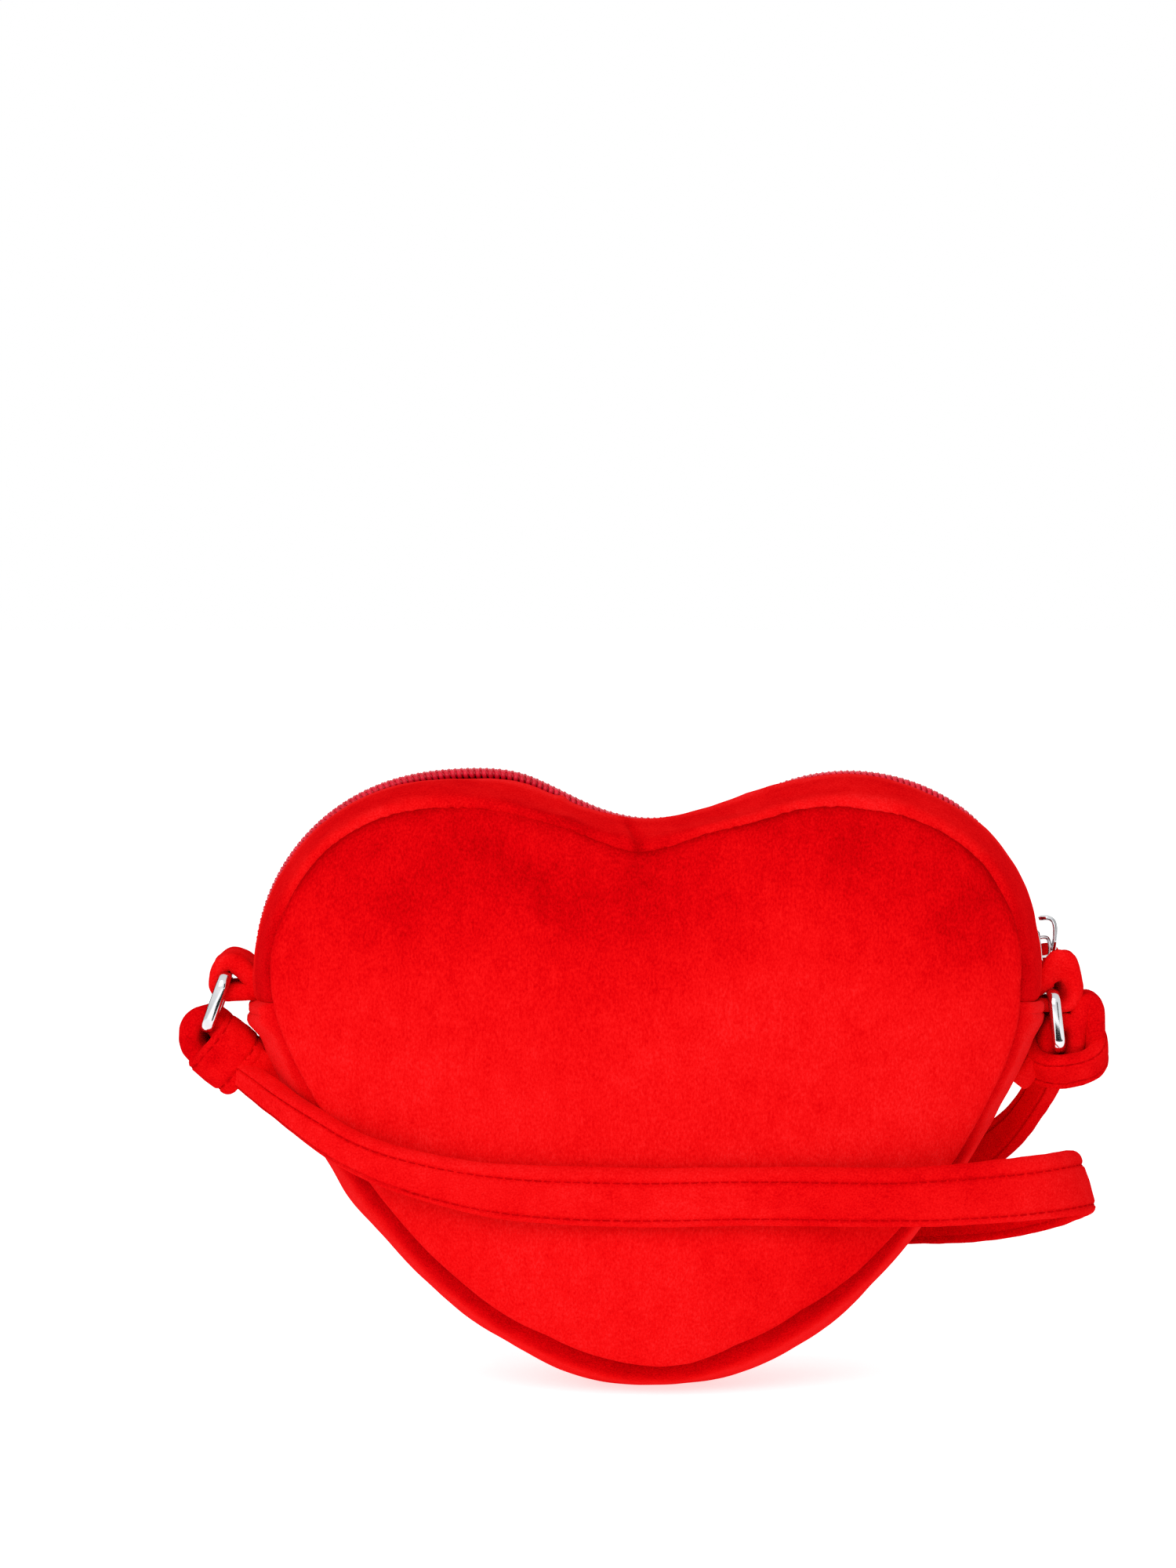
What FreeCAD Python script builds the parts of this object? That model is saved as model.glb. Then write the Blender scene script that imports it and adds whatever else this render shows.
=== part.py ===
import FreeCAD, Part
import math
import os
from collections import namedtuple

# Heart shaped purse in plush velvet, with a coil zip over its top and a knotted shoulder strap.
# Millimetres. +X is to the right, +Y to the back and +Z up.
# The origin is the middle of the flat foot that the purse stands on.

# Heart outline, along the zip line
LOBE_RADIUS = 42.5
LOBE_OFFSET = 43.2
LOBE_HEIGHT = 91.0
BASE_RADIUS = 62.0
SIDE_RADIUS = 175.0
CLEFT_DROP = 9.3
FOOT_DEPTH = 1.2

# Depth of the purse
SEAM_DEPTH = 20.0
SEAM_INSET = 6.0
CROWN_HEIGHT = 7.0
CROWN_FLAT = 3.5
CROWN_STEPS = 4

# Cloth layers
VELVET = 2.2
WADDING = 2.0
LINING = 0.6
LAYER_GAP = 0.1
FOLD_GAP = 0.3

# Zip
ZIP_END_DROP = 9.0
COIL_WIDTH = 6.2
COIL_THICKNESS = 2.3
COIL_GAP = 0.1
TAPE_WIDTH = 11.0
TAPE_THICKNESS = 0.5
TAPE_SPLIT = 2.6
FACING_INSET = 8.0

# Zip slider and pull
SLIDER_LENGTH = 8.0
SLIDER_WALL = 0.9
SLIDER_PLATE = 1.1
SLIDER_GAP = 0.4
SLIDER_CORNER = 1.2
SLIDER_REST = 5.5
SLOT_EASE = 1.1
POST_LENGTH = 2.0
POST_GAP = 0.4
BAIL_LENGTH = 5.0
BAIL_WIDTH = 1.4
BAIL_BAR = 0.9
PULL_LENGTH = 7.2
PULL_WIDTH = 4.8
PULL_THICKNESS = 0.9
PULL_ARCH = 1.4
PULL_BAR_RADIUS = 0.55
PULL_GAP = 0.35

# Strap, rings and tabs
STRAP_WIDTH = 12.7
STRAP_THICKNESS = 3.2
RING_WIRE = 2.2
RING_CORNER = 2.0
RING_EASE = 0.4
RING_REACH = 8.9
TAB_BAND = 3.2
TAB_EASE = 1.5
TAB_FOOT = 1.0
KNOT_EASE = 1.2
KNOT_CORNER = 2.5
TAIL_LENGTH = 4.0

# Each side: how far the ring's upper bar stands out from the heart, how far it lies below the lobe's
# centre and how many degrees the ring leans out, then the tab's centre beside the upper bar, the strap
# loop's centre beside the lower bar, the wrap's centre beside the loop's, half the wrap's breadth, the
# degrees that the wrap slopes in, and the centre and radius of a fold that stands up beside the loop
SideFit = namedtuple(
    "SideFit",
    "side reach drop lean tab_in tab_up loop_out loop_up wrap_in wrap_down wrap_half slope "
    "fold_out fold_up fold_radius",
)
LEFT_FIT = SideFit(-1, 5.8, 2.4, 18.0, 0.8, 0.8, 1.0, 0.2, 4.1, 5.7, 6.4, 45.0, 0, 0, 0)
RIGHT_FIT = SideFit(1, 2.4, 6.0, 7.0, 0, 0, 0.5, -0.2, -1.4, 3.2, 7.6, 10.0, 5.8, 5.5, 3.5)

# Route of the strap, from the left knot over the front, round the right side and behind the purse
FRONT_ROUTE = [
    (-87.0, -8.4, 66.9),
    (-76.5, -20.8, 60.4),
    (-59.0, -29.4, 52.0),
    (-34.0, -30.0, 46.3),
    (-6.0, -29.5, 44.8),
    (22.0, -29.8, 45.1),
    (50.0, -30.0, 44.3),
    (73.0, -28.0, 45.4),
    (87.0, -23.5, 45.9),
    (94.6, -13.5, 45.2),
    (94.6, -6.0, 44.0),
]
BACK_ROUTE = [
    (94.6, -6.0, 44.0),
    (94.6, 1.5, 42.8),
    (87.5, 11.5, 39.4),
    (71.0, 21.0, 35.4),
    (48.0, 29.6, 32.0),
    (17.0, 31.9, 30.4),
    (-12.0, 31.4, 30.6),
    (-32.0, 33.4, 32.2),
    (-44.5, 39.2, 34.0),
    (-49.0, 49.5, 36.2),
    (-42.5, 58.5, 38.2),
    (-30.0, 59.0, 40.0),
    (-12.0, 52.5, 42.0),
    (11.0, 42.5, 44.4),
    (35.0, 34.0, 46.6),
    (57.0, 29.4, 49.4),
    (72.5, 21.4, 53.6),
    (81.0, 12.2, 59.0),
    (85.0, 8.4, 63.2),
]

OVERSIZE = 400.0
SAME = 1e-6
SPIN_AXIS = FreeCAD.Vector(0, -1, 0)
Y_AXIS = FreeCAD.Vector(0, 1, 0)
ORIGIN = FreeCAD.Vector(0, 0, 0)

# Sizes worked out from the ones above
GUSSET_RADIUS = (SEAM_DEPTH ** 2 + SEAM_INSET ** 2) / (2 * SEAM_INSET)
CROWN_EDGE = LOBE_RADIUS - CROWN_FLAT
PANEL_CAP = SEAM_DEPTH + CROWN_HEIGHT
TAPE_TOP = VELVET + LAYER_GAP
TAPE_BOTTOM = TAPE_TOP + TAPE_THICKNESS
COIL_TOP = TAPE_TOP - COIL_THICKNESS
LINING_TOP = TAPE_BOTTOM + LAYER_GAP
LINING_BOTTOM = LINING_TOP + LINING
SLIDER_HALF = COIL_WIDTH / 2 + SLIDER_GAP + SLIDER_WALL
SLOT_HALF = SLIDER_HALF + SLOT_EASE
FOLD_DROP = ZIP_END_DROP * (LOBE_RADIUS - SEAM_INSET) / LOBE_RADIUS
FOLD_HEIGHT = LOBE_HEIGHT - FOLD_DROP + FOLD_GAP / 2

# An arc of the outline, in the XZ plane; bulge is 1 where the outline swells outward and -1 at the cleft
OutlineArc = namedtuple("OutlineArc", "x z radius start end bulge")


def side_centre():
    """Centre of the right side arc, which touches the base arc and the lobe arc from outside."""
    base_z = BASE_RADIUS - FOOT_DEPTH
    to_base = SIDE_RADIUS - BASE_RADIUS
    to_lobe = SIDE_RADIUS - LOBE_RADIUS
    span_x = LOBE_OFFSET
    span_z = LOBE_HEIGHT - base_z
    span = math.hypot(span_x, span_z)
    along = (to_base ** 2 - to_lobe ** 2 + span ** 2) / (2 * span)
    across = math.sqrt(to_base ** 2 - along ** 2)
    x = along * span_x / span - across * span_z / span
    z = base_z + along * span_z / span + across * span_x / span
    return x, z


def heart_arcs():
    """The six tangent arcs of the heart, counter-clockwise from the right lobe."""
    base_z = BASE_RADIUS - FOOT_DEPTH
    side_x, side_z = side_centre()
    rise = LOBE_RADIUS - CLEFT_DROP
    cleft_radius = (LOBE_OFFSET ** 2 + rise ** 2 - LOBE_RADIUS ** 2) / (2 * CLEFT_DROP)
    cleft_z = LOBE_HEIGHT + rise + cleft_radius
    to_lobe = math.degrees(math.atan2(LOBE_HEIGHT - side_z, LOBE_OFFSET - side_x))
    to_base = math.degrees(math.atan2(base_z - side_z, -side_x))
    to_cleft = math.degrees(math.atan2(cleft_z - LOBE_HEIGHT, -LOBE_OFFSET))
    return {
        "right_lobe": OutlineArc(LOBE_OFFSET, LOBE_HEIGHT, LOBE_RADIUS, to_lobe, to_cleft, 1),
        "cleft": OutlineArc(0, cleft_z, cleft_radius, -to_cleft, to_cleft - 180, -1),
        "left_lobe": OutlineArc(-LOBE_OFFSET, LOBE_HEIGHT, LOBE_RADIUS, 180 - to_cleft, 180 - to_lobe, 1),
        "left_side": OutlineArc(-side_x, side_z, SIDE_RADIUS, 180 - to_lobe, 180 - to_base, 1),
        "base": OutlineArc(0, base_z, BASE_RADIUS, -180 - to_base, to_base, 1),
        "right_side": OutlineArc(side_x, side_z, SIDE_RADIUS, to_base, to_lobe, 1),
    }


ARCS = heart_arcs()
SEAM_ANGLE = -math.degrees(math.asin(ZIP_END_DROP / LOBE_RADIUS))
SEAM_GAP_ANGLE = math.degrees(FOLD_GAP / 2 / LOBE_RADIUS)


def zip_arcs(right_start):
    """Outline arcs over the top, from right_start on the right lobe to the left side seam."""
    return [
        ARCS["right_lobe"]._replace(start=right_start),
        ARCS["cleft"],
        ARCS["left_lobe"]._replace(end=180 - SEAM_ANGLE - SEAM_GAP_ANGLE),
    ]


def bottom_arcs():
    """Outline arcs below the side seams."""
    return [
        ARCS["left_lobe"]._replace(start=180 - SEAM_ANGLE + SEAM_GAP_ANGLE),
        ARCS["left_side"],
        ARCS["base"],
        ARCS["right_side"],
        ARCS["right_lobe"]._replace(end=SEAM_ANGLE - SEAM_GAP_ANGLE),
    ]


def arc_point(arc, angle, outward, y):
    """Point at an angle of an outline arc, moved outward from the outline."""
    radius = arc.radius + arc.bulge * outward
    turn = math.radians(angle)
    return FreeCAD.Vector(arc.x + radius * math.cos(turn), y, arc.z + radius * math.sin(turn))


def outline_wire(inset, y):
    """The heart outline, moved inward, at one depth."""
    edges = []
    for arc in ARCS.values():
        ends = (arc.start, (arc.start + arc.end) / 2, arc.end)
        points = [arc_point(arc, angle, -inset, y) for angle in ends]
        edges.append(Part.Arc(*points).toShape())
    return Part.Wire(Part.__sortEdges__(edges))


def layer_point(depth, y):
    """Outward place of a cloth layer of the gusset, which bulges between its two seams."""
    return -GUSSET_RADIUS + math.sqrt((GUSSET_RADIUS - depth) ** 2 - y ** 2)


def band_face(arc, top, bottom, y_from, y_to):
    """Section of a gusset layer at the start of an outline arc."""
    y_mid = (y_from + y_to) / 2

    def corner(depth, y):
        return arc_point(arc, arc.start, layer_point(depth, y), y)

    edges = [
        Part.Arc(corner(top, y_from), corner(top, y_mid), corner(top, y_to)).toShape(),
        Part.LineSegment(corner(top, y_to), corner(bottom, y_to)).toShape(),
        Part.Arc(corner(bottom, y_to), corner(bottom, y_mid), corner(bottom, y_from)).toShape(),
        Part.LineSegment(corner(bottom, y_from), corner(top, y_from)).toShape(),
    ]
    return Part.Face(Part.Wire(edges))


def band(arcs, top, bottom, y_from, y_to):
    """A gusset layer swept along outline arcs."""
    pieces = []
    for arc in arcs:
        face = band_face(arc, top, bottom, y_from, y_to)
        centre = FreeCAD.Vector(arc.x, 0, arc.z)
        pieces.append(face.revolve(centre, SPIN_AXIS, arc.end - arc.start))
    solid = pieces[0].fuse(pieces[1:]) if len(pieces) > 1 else pieces[0]
    return solid.removeSplitter()


def pillow(side, rim, cap, skirt):
    """Crowned heart from a panel's seam to its flat middle; the skirt reaches below the seam."""
    wires = [outline_wire(rim, side * (SEAM_DEPTH - skirt))] if skirt else []
    for step in range(CROWN_STEPS + 1):
        turn = math.radians(90 * step / CROWN_STEPS)
        inset = rim + (CROWN_EDGE - rim) * (1 - math.cos(turn))
        depth = SEAM_DEPTH + (cap - SEAM_DEPTH) * math.sin(turn)
        wires.append(outline_wire(inset, side * depth))
    return Part.makeLoft(wires, True, True)


def panel_layer(side, rim, cap, thickness):
    """One crowned layer of a panel."""
    outer = pillow(side, rim, cap, 0)
    inner = pillow(side, rim + thickness, cap - thickness, thickness)
    return outer.cut(inner)


def panel_layers(side):
    """Velvet, wadding and lining of a panel, from the outside in."""
    layers = []
    rim = SEAM_INSET
    cap = PANEL_CAP
    for thickness in (VELVET, WADDING, LINING):
        layers.append(panel_layer(side, rim, cap, thickness))
        rim += thickness + LAYER_GAP
        cap -= thickness + LAYER_GAP
    return layers


def above(height):
    """All space above a height."""
    corner = FreeCAD.Vector(-OVERSIZE / 2, -OVERSIZE / 2, height)
    return Part.makeBox(OVERSIZE, OVERSIZE, OVERSIZE, corner)


def save(shape, name):
    """Write a node and print its size."""
    solids = shape.Solids
    node = solids[0] if len(solids) == 1 else shape
    node.exportStep(os.path.join("parts", name + ".step"))
    print(name, "solids", len(solids), "valid", node.isValid(), "volume", round(node.Volume, 1))


def save_panels():
    """Back panel whole, front panel in two at the fold between the zip ends."""
    for name, layer in zip(("panel", "wadding", "lining"), panel_layers(1)):
        save(layer, "back_" + name)
    upper_space = above(FOLD_HEIGHT + FOLD_GAP / 2)
    lower_limit = above(FOLD_HEIGHT - FOLD_GAP / 2)
    for name, layer in zip(("panel", "wadding", "lining"), panel_layers(-1)):
        save(layer.common(upper_space), "front_" + name + "_upper")
        save(layer.cut(lower_limit), "front_" + name + "_lower")


def save_gussets():
    """Bottom gusset with its flat foot, the two zip strips and their lining."""
    bottom = band(bottom_arcs(), 0, VELVET, -SEAM_DEPTH, SEAM_DEPTH)
    save(bottom.common(above(0)), "bottom_gusset")
    save(band(bottom_arcs(), LINING_TOP, LINING_BOTTOM, -SEAM_DEPTH, SEAM_DEPTH), "gusset_lining")
    arcs = zip_arcs(SEAM_ANGLE + SEAM_GAP_ANGLE)
    save(band(arcs, 0, VELVET, -SEAM_DEPTH, -SLOT_HALF), "front_zip_strip")
    save(band(arcs, 0, VELVET, SLOT_HALF, SEAM_DEPTH), "back_zip_strip")
    save(band(arcs, LINING_TOP, LINING_BOTTOM, -SEAM_DEPTH, -FACING_INSET), "front_zip_facing")
    save(band(arcs, LINING_TOP, LINING_BOTTOM, FACING_INSET, SEAM_DEPTH), "back_zip_facing")


def save_zip():
    """Tapes from seam to seam, and coils from the left seam up to the slider's post."""
    arcs = zip_arcs(SEAM_ANGLE + SEAM_GAP_ANGLE)
    tape_in = TAPE_SPLIT / 2
    tape_out = tape_in + TAPE_WIDTH
    save(band(arcs, TAPE_TOP, TAPE_BOTTOM, -tape_out, -tape_in), "front_zip_tape")
    save(band(arcs, TAPE_TOP, TAPE_BOTTOM, tape_in, tape_out), "back_zip_tape")
    post_end = SLIDER_LENGTH / 2 - POST_LENGTH - POST_GAP
    coil_start = SLIDER_REST - math.degrees(post_end / LOBE_RADIUS)
    coil_arcs = zip_arcs(coil_start)
    save(band(coil_arcs, COIL_TOP, TAPE_TOP, -COIL_WIDTH / 2, -COIL_GAP / 2), "front_zip_coil")
    save(band(coil_arcs, COIL_TOP, TAPE_TOP, COIL_GAP / 2, COIL_WIDTH / 2), "back_zip_coil")


def box_between(low, high):
    """Box from its lowest to its highest corner."""
    size = FreeCAD.Vector(*high) - FreeCAD.Vector(*low)
    return Part.makeBox(size.x, size.y, size.z, FreeCAD.Vector(*low))


def at_slider(shape):
    """Move a shape from the slider's own frame (outward, across, along) to its parked place."""
    moved = shape.copy()
    moved.translate(FreeCAD.Vector(LOBE_OFFSET + LOBE_RADIUS, 0, LOBE_HEIGHT))
    moved.rotate(FreeCAD.Vector(LOBE_OFFSET, 0, LOBE_HEIGHT), SPIN_AXIS, SLIDER_REST)
    return moved


# Slider heights, measured outward from the outline
ROOF = -COIL_TOP + SLIDER_GAP
DECK = ROOF + SLIDER_PLATE
LENGTH_SAG = (SLIDER_LENGTH / 2) ** 2 / (2 * LOBE_RADIUS)
WIDTH_SAG = SLIDER_HALF ** 2 / (2 * GUSSET_RADIUS)
FLOOR_TOP = -(TAPE_BOTTOM + LENGTH_SAG + WIDTH_SAG + SLIDER_GAP)
FLANGE_END = -TAPE_TOP + SLIDER_GAP
PULL_AXIS = DECK + PULL_GAP + PULL_BAR_RADIUS
BAIL_ROOF = PULL_AXIS + PULL_BAR_RADIUS + PULL_GAP


def is_bail_shoulder(edge):
    """True for the two upper edges of the bail that run across the zip."""
    middle = edge.CenterOfMass
    on_top = abs(middle.x - BAIL_ROOF - BAIL_BAR) < SAME
    at_end = abs(abs(middle.z) - BAIL_LENGTH / 2) < SAME
    return on_top and at_end


def save_slider():
    """Slider body: two plates joined by the post, flanges round the coils, and the bail on top."""
    half = SLIDER_LENGTH / 2
    roof = box_between((ROOF, -SLIDER_HALF, -half), (DECK, SLIDER_HALF, half))
    floor = box_between((FLOOR_TOP - SLIDER_PLATE, -SLIDER_HALF, -half), (FLOOR_TOP, SLIDER_HALF, half))
    plates = []
    for plate in (roof, floor):
        corners = [edge for edge in plate.Edges if abs(edge.tangentAt(edge.FirstParameter).x) > 0.9]
        plates.append(plate.makeFillet(SLIDER_CORNER, corners))
    post_half = TAPE_SPLIT / 2 - POST_GAP
    post = box_between((FLOOR_TOP, -post_half, -half), (ROOF, post_half, -half + POST_LENGTH))
    flanges = []
    for side in (-1, 1):
        inner = side * (SLIDER_HALF - SLIDER_WALL)
        outer = side * SLIDER_HALF
        low = (FLANGE_END, min(inner, outer), -half + SLIDER_CORNER)
        high = (ROOF, max(inner, outer), half - SLIDER_CORNER)
        flanges.append(box_between(low, high))
    reach = BAIL_LENGTH / 2
    bail = box_between((DECK, -BAIL_WIDTH / 2, -reach), (BAIL_ROOF + BAIL_BAR, BAIL_WIDTH / 2, reach))
    bail = bail.makeFillet(BAIL_BAR, [edge for edge in bail.Edges if is_bail_shoulder(edge)])
    window_reach = reach - BAIL_BAR
    window = box_between((DECK, -BAIL_WIDTH, -window_reach), (BAIL_ROOF, BAIL_WIDTH, window_reach))
    body = plates[0].fuse([plates[1], post] + flanges + [bail.cut(window)]).removeSplitter()
    save(at_slider(body), "zip_slider")


def save_pull():
    """Arched pull: a bar under the bail, two arms beside it and a curved plate."""
    start = FreeCAD.Vector(PULL_AXIS, 0, 0)
    end = FreeCAD.Vector(PULL_AXIS - PULL_ARCH, 0, PULL_LENGTH)
    middle = (start + end) / 2 + FreeCAD.Vector(PULL_ARCH, 0, 0)
    circle = Part.Circle(start, middle, end)
    centre = circle.Center
    edges = []
    for shift in (PULL_THICKNESS / 2, -PULL_THICKNESS / 2):
        grow = (circle.Radius + shift) / circle.Radius
        points = [centre + (point - centre) * grow for point in (start, middle, end)]
        edges.append(Part.Arc(*points).toShape())
    outer, inner = edges
    first = Part.LineSegment(outer.Vertexes[0].Point, inner.Vertexes[0].Point).toShape()
    last = Part.LineSegment(outer.Vertexes[-1].Point, inner.Vertexes[-1].Point).toShape()
    profile = Part.Face(Part.Wire(Part.__sortEdges__([outer, last, inner, first])))
    profile.translate(FreeCAD.Vector(0, -PULL_WIDTH / 2, 0))
    plate = profile.extrude(FreeCAD.Vector(0, PULL_WIDTH, 0))
    corner = math.hypot(BAIL_LENGTH / 2, BAIL_ROOF + BAIL_BAR - PULL_AXIS)
    window_end = corner + PULL_GAP
    window_half = BAIL_WIDTH / 2 + PULL_GAP
    low = (DECK, -window_half, -window_end)
    high = (BAIL_ROOF + OVERSIZE, window_half, window_end)
    bar_start = FreeCAD.Vector(PULL_AXIS, -PULL_WIDTH / 2, 0)
    bar = Part.makeCylinder(PULL_BAR_RADIUS, PULL_WIDTH, bar_start, Y_AXIS)
    pull = plate.cut(box_between(low, high)).fuse(bar).removeSplitter()
    save(at_slider(pull), "zip_pull")


def mirrored(shape, side):
    """Shape for the right side, or its mirror image for the left."""
    return shape if side > 0 else shape.mirror(ORIGIN, FreeCAD.Vector(1, 0, 0))


def flank(drop):
    """Outermost X of the lobe, some way below its centre."""
    return LOBE_OFFSET + math.sqrt(LOBE_RADIUS ** 2 - drop ** 2)


RING_PITCH = RING_REACH + RING_WIRE
RING_HALF = STRAP_WIDTH / 2 + RING_EASE + RING_WIRE / 2


def upper_bar(fit):
    """Centre of the ring's upper bar, drawn on the right side."""
    return FreeCAD.Vector(flank(fit.drop) + fit.reach, 0, LOBE_HEIGHT - fit.drop)


def lower_bar(fit):
    """Centre of the ring's lower bar, drawn on the right side."""
    lean = math.radians(fit.lean)
    return upper_bar(fit) + FreeCAD.Vector(math.sin(lean), 0, -math.cos(lean)) * RING_PITCH


def bar_across(centre, radius, width):
    """Round bar along Y, centred."""
    return Part.makeCylinder(radius, width, centre - Y_AXIS * (width / 2), Y_AXIS)


def save_tab(fit, name):
    """Loop tab round the ring's upper bar, its foot sewn against the side seam."""
    bar = upper_bar(fit)
    centre = bar + FreeCAD.Vector(-fit.tab_in, 0, fit.tab_up)
    hole = RING_WIRE / 2 + TAB_EASE
    radius = hole + TAB_BAND
    loop = bar_across(centre, radius, STRAP_WIDTH)
    foot_low = (bar.x - fit.reach - TAB_FOOT, -STRAP_WIDTH / 2, centre.z - radius)
    foot_high = (centre.x, STRAP_WIDTH / 2, centre.z + radius / 2)
    tab = loop.fuse(box_between(foot_low, foot_high)).cut(bar_across(centre, hole, 2 * STRAP_WIDTH))
    flank_arcs = [ARCS["right_side"], ARCS["right_lobe"]]
    side = band(flank_arcs, -LAYER_GAP, radius + TAB_FOOT, -SEAM_DEPTH, SEAM_DEPTH)
    save(mirrored(tab.cut(side).removeSplitter(), fit.side), name)


def save_ring(fit, name):
    """Rectangular ring of round wire, hung by its upper bar."""
    radius = RING_WIRE / 2
    half = RING_HALF
    straight_y = 2 * (half - RING_CORNER)
    straight_z = RING_PITCH - 2 * RING_CORNER
    pieces = []
    for z in (0, -RING_PITCH):
        pieces.append(bar_across(FreeCAD.Vector(0, 0, z), radius, straight_y))
    for y in (-half, half):
        low = FreeCAD.Vector(0, y, -RING_PITCH + RING_CORNER)
        pieces.append(Part.makeCylinder(radius, straight_z, low, FreeCAD.Vector(0, 0, 1)))
    for y_side in (-1, 1):
        for z, spin in ((0, y_side), (-RING_PITCH, -y_side)):
            end = FreeCAD.Vector(0, y_side * (half - RING_CORNER), z)
            inward = FreeCAD.Vector(0, 0, -RING_CORNER if z == 0 else RING_CORNER)
            disc = Part.Face(Part.Wire(Part.makeCircle(radius, end, Y_AXIS)))
            pieces.append(disc.revolve(end + inward, FreeCAD.Vector(-spin, 0, 0), 90))
    ring = pieces[0].fuse(pieces[1:]).removeSplitter()
    ring.rotate(ORIGIN, SPIN_AXIS, fit.lean)
    ring.translate(upper_bar(fit))
    save(mirrored(ring, fit.side), name)


def save_knot(fit, name):
    """End of the strap: a loop round the ring's lower bar, the wrap of the knot and the short tail."""
    hole = RING_WIRE / 2 + KNOT_EASE
    loop_centre = lower_bar(fit) + FreeCAD.Vector(fit.loop_out, 0, fit.loop_up)
    loop = bar_across(loop_centre, hole + STRAP_THICKNESS, STRAP_WIDTH)
    wrap_centre = loop_centre - FreeCAD.Vector(fit.wrap_in, 0, fit.wrap_down)
    half_wide = fit.wrap_half
    half_long = STRAP_WIDTH / 2
    wrap = box_between((-half_wide, -STRAP_WIDTH / 2, -half_long), (half_wide, STRAP_WIDTH / 2, half_long))
    wrap = wrap.makeFillet(KNOT_CORNER, [edge for edge in wrap.Edges if abs(edge.tangentAt(0).y) > 0.9])
    tail_low = (-half_wide, -STRAP_WIDTH / 2, -half_long - TAIL_LENGTH / 2)
    tail_high = (-half_wide + STRAP_THICKNESS, STRAP_WIDTH / 2, 0)
    tail = box_between(tail_low, tail_high)
    wrap = wrap.fuse(tail)
    wrap.rotate(ORIGIN, -SPIN_AXIS, fit.slope)
    wrap.translate(wrap_centre)
    knot = loop.fuse(wrap)
    if fit.fold_radius:
        fold_centre = loop_centre + FreeCAD.Vector(fit.fold_out, 0, fit.fold_up)
        knot = knot.fuse(bar_across(fold_centre, fit.fold_radius, STRAP_WIDTH))
    knot = knot.cut(bar_across(loop_centre, hole, 2 * STRAP_WIDTH)).removeSplitter()
    save(mirrored(knot, fit.side), name)


def route_wire(points, name):
    """Straight runs joined by tangent arcs, each as large as its two runs allow."""
    places = [FreeCAD.Vector(*point) for point in points]
    edges = []
    radii = []
    start = places[0]
    for before, here, after in zip(places, places[1:], places[2:]):
        back = before - here
        ahead = after - here
        half_turn = (math.pi - back.getAngle(ahead)) / 2
        reach = 0.45 * min(back.Length, ahead.Length)
        radii.append(reach / math.tan(half_turn))
        arc_start = here + back * (reach / back.Length)
        arc_end = here + ahead * (reach / ahead.Length)
        middle = (arc_start + arc_end) / 2
        inward = (middle - here).normalize()
        to_centre = radii[-1] / math.cos(half_turn)
        arc_middle = here + inward * (to_centre - radii[-1])
        edges.append(Part.LineSegment(start, arc_start).toShape())
        edges.append(Part.Arc(arc_start, arc_middle, arc_end).toShape())
        start = arc_end
    edges.append(Part.LineSegment(start, places[-1]).toShape())
    wire = Part.Wire(edges)
    print(name, "length", round(wire.Length, 1), "radii", [round(radius, 1) for radius in radii])
    return wire


def save_strap(points, name):
    """Flat strap on edge along its route, its width upright."""
    path = route_wire(points, name)
    start = FreeCAD.Vector(*points[0])
    heading = FreeCAD.Vector(*points[1]) - start
    heading.z = 0
    heading.normalize()
    aside = FreeCAD.Vector(-heading.y, heading.x, 0) * (STRAP_THICKNESS / 2)
    rise = FreeCAD.Vector(0, 0, STRAP_WIDTH / 2)
    corners = [start + aside + rise, start - aside + rise, start - aside - rise, start + aside - rise]
    section = Part.makePolygon(corners + corners[:1])
    sweep = Part.BRepOffsetAPI.MakePipeShell(path)
    sweep.setBiNormalMode(FreeCAD.Vector(0, 0, 1))
    sweep.add(section)
    sweep.build()
    sweep.makeSolid()
    strap = sweep.shape()
    print(name, "section times length", round(path.Length * STRAP_WIDTH * STRAP_THICKNESS, 1))
    save(strap, name)


def build():
    """Write every node."""
    os.makedirs("parts", exist_ok=True)
    save_panels()
    save_gussets()
    save_zip()
    save_slider()
    save_pull()
    for fit, name in ((LEFT_FIT, "left"), (RIGHT_FIT, "right")):
        save_tab(fit, name + "_tab")
        save_ring(fit, name + "_ring")
        save_knot(fit, name + "_strap_knot")
    save_strap(FRONT_ROUTE, "strap_front_run")
    save_strap(BACK_ROUTE, "strap_back_run")


build()
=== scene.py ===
import math

import bmesh
import bpy
import numpy as np
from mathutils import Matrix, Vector, geometry, noise


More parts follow.
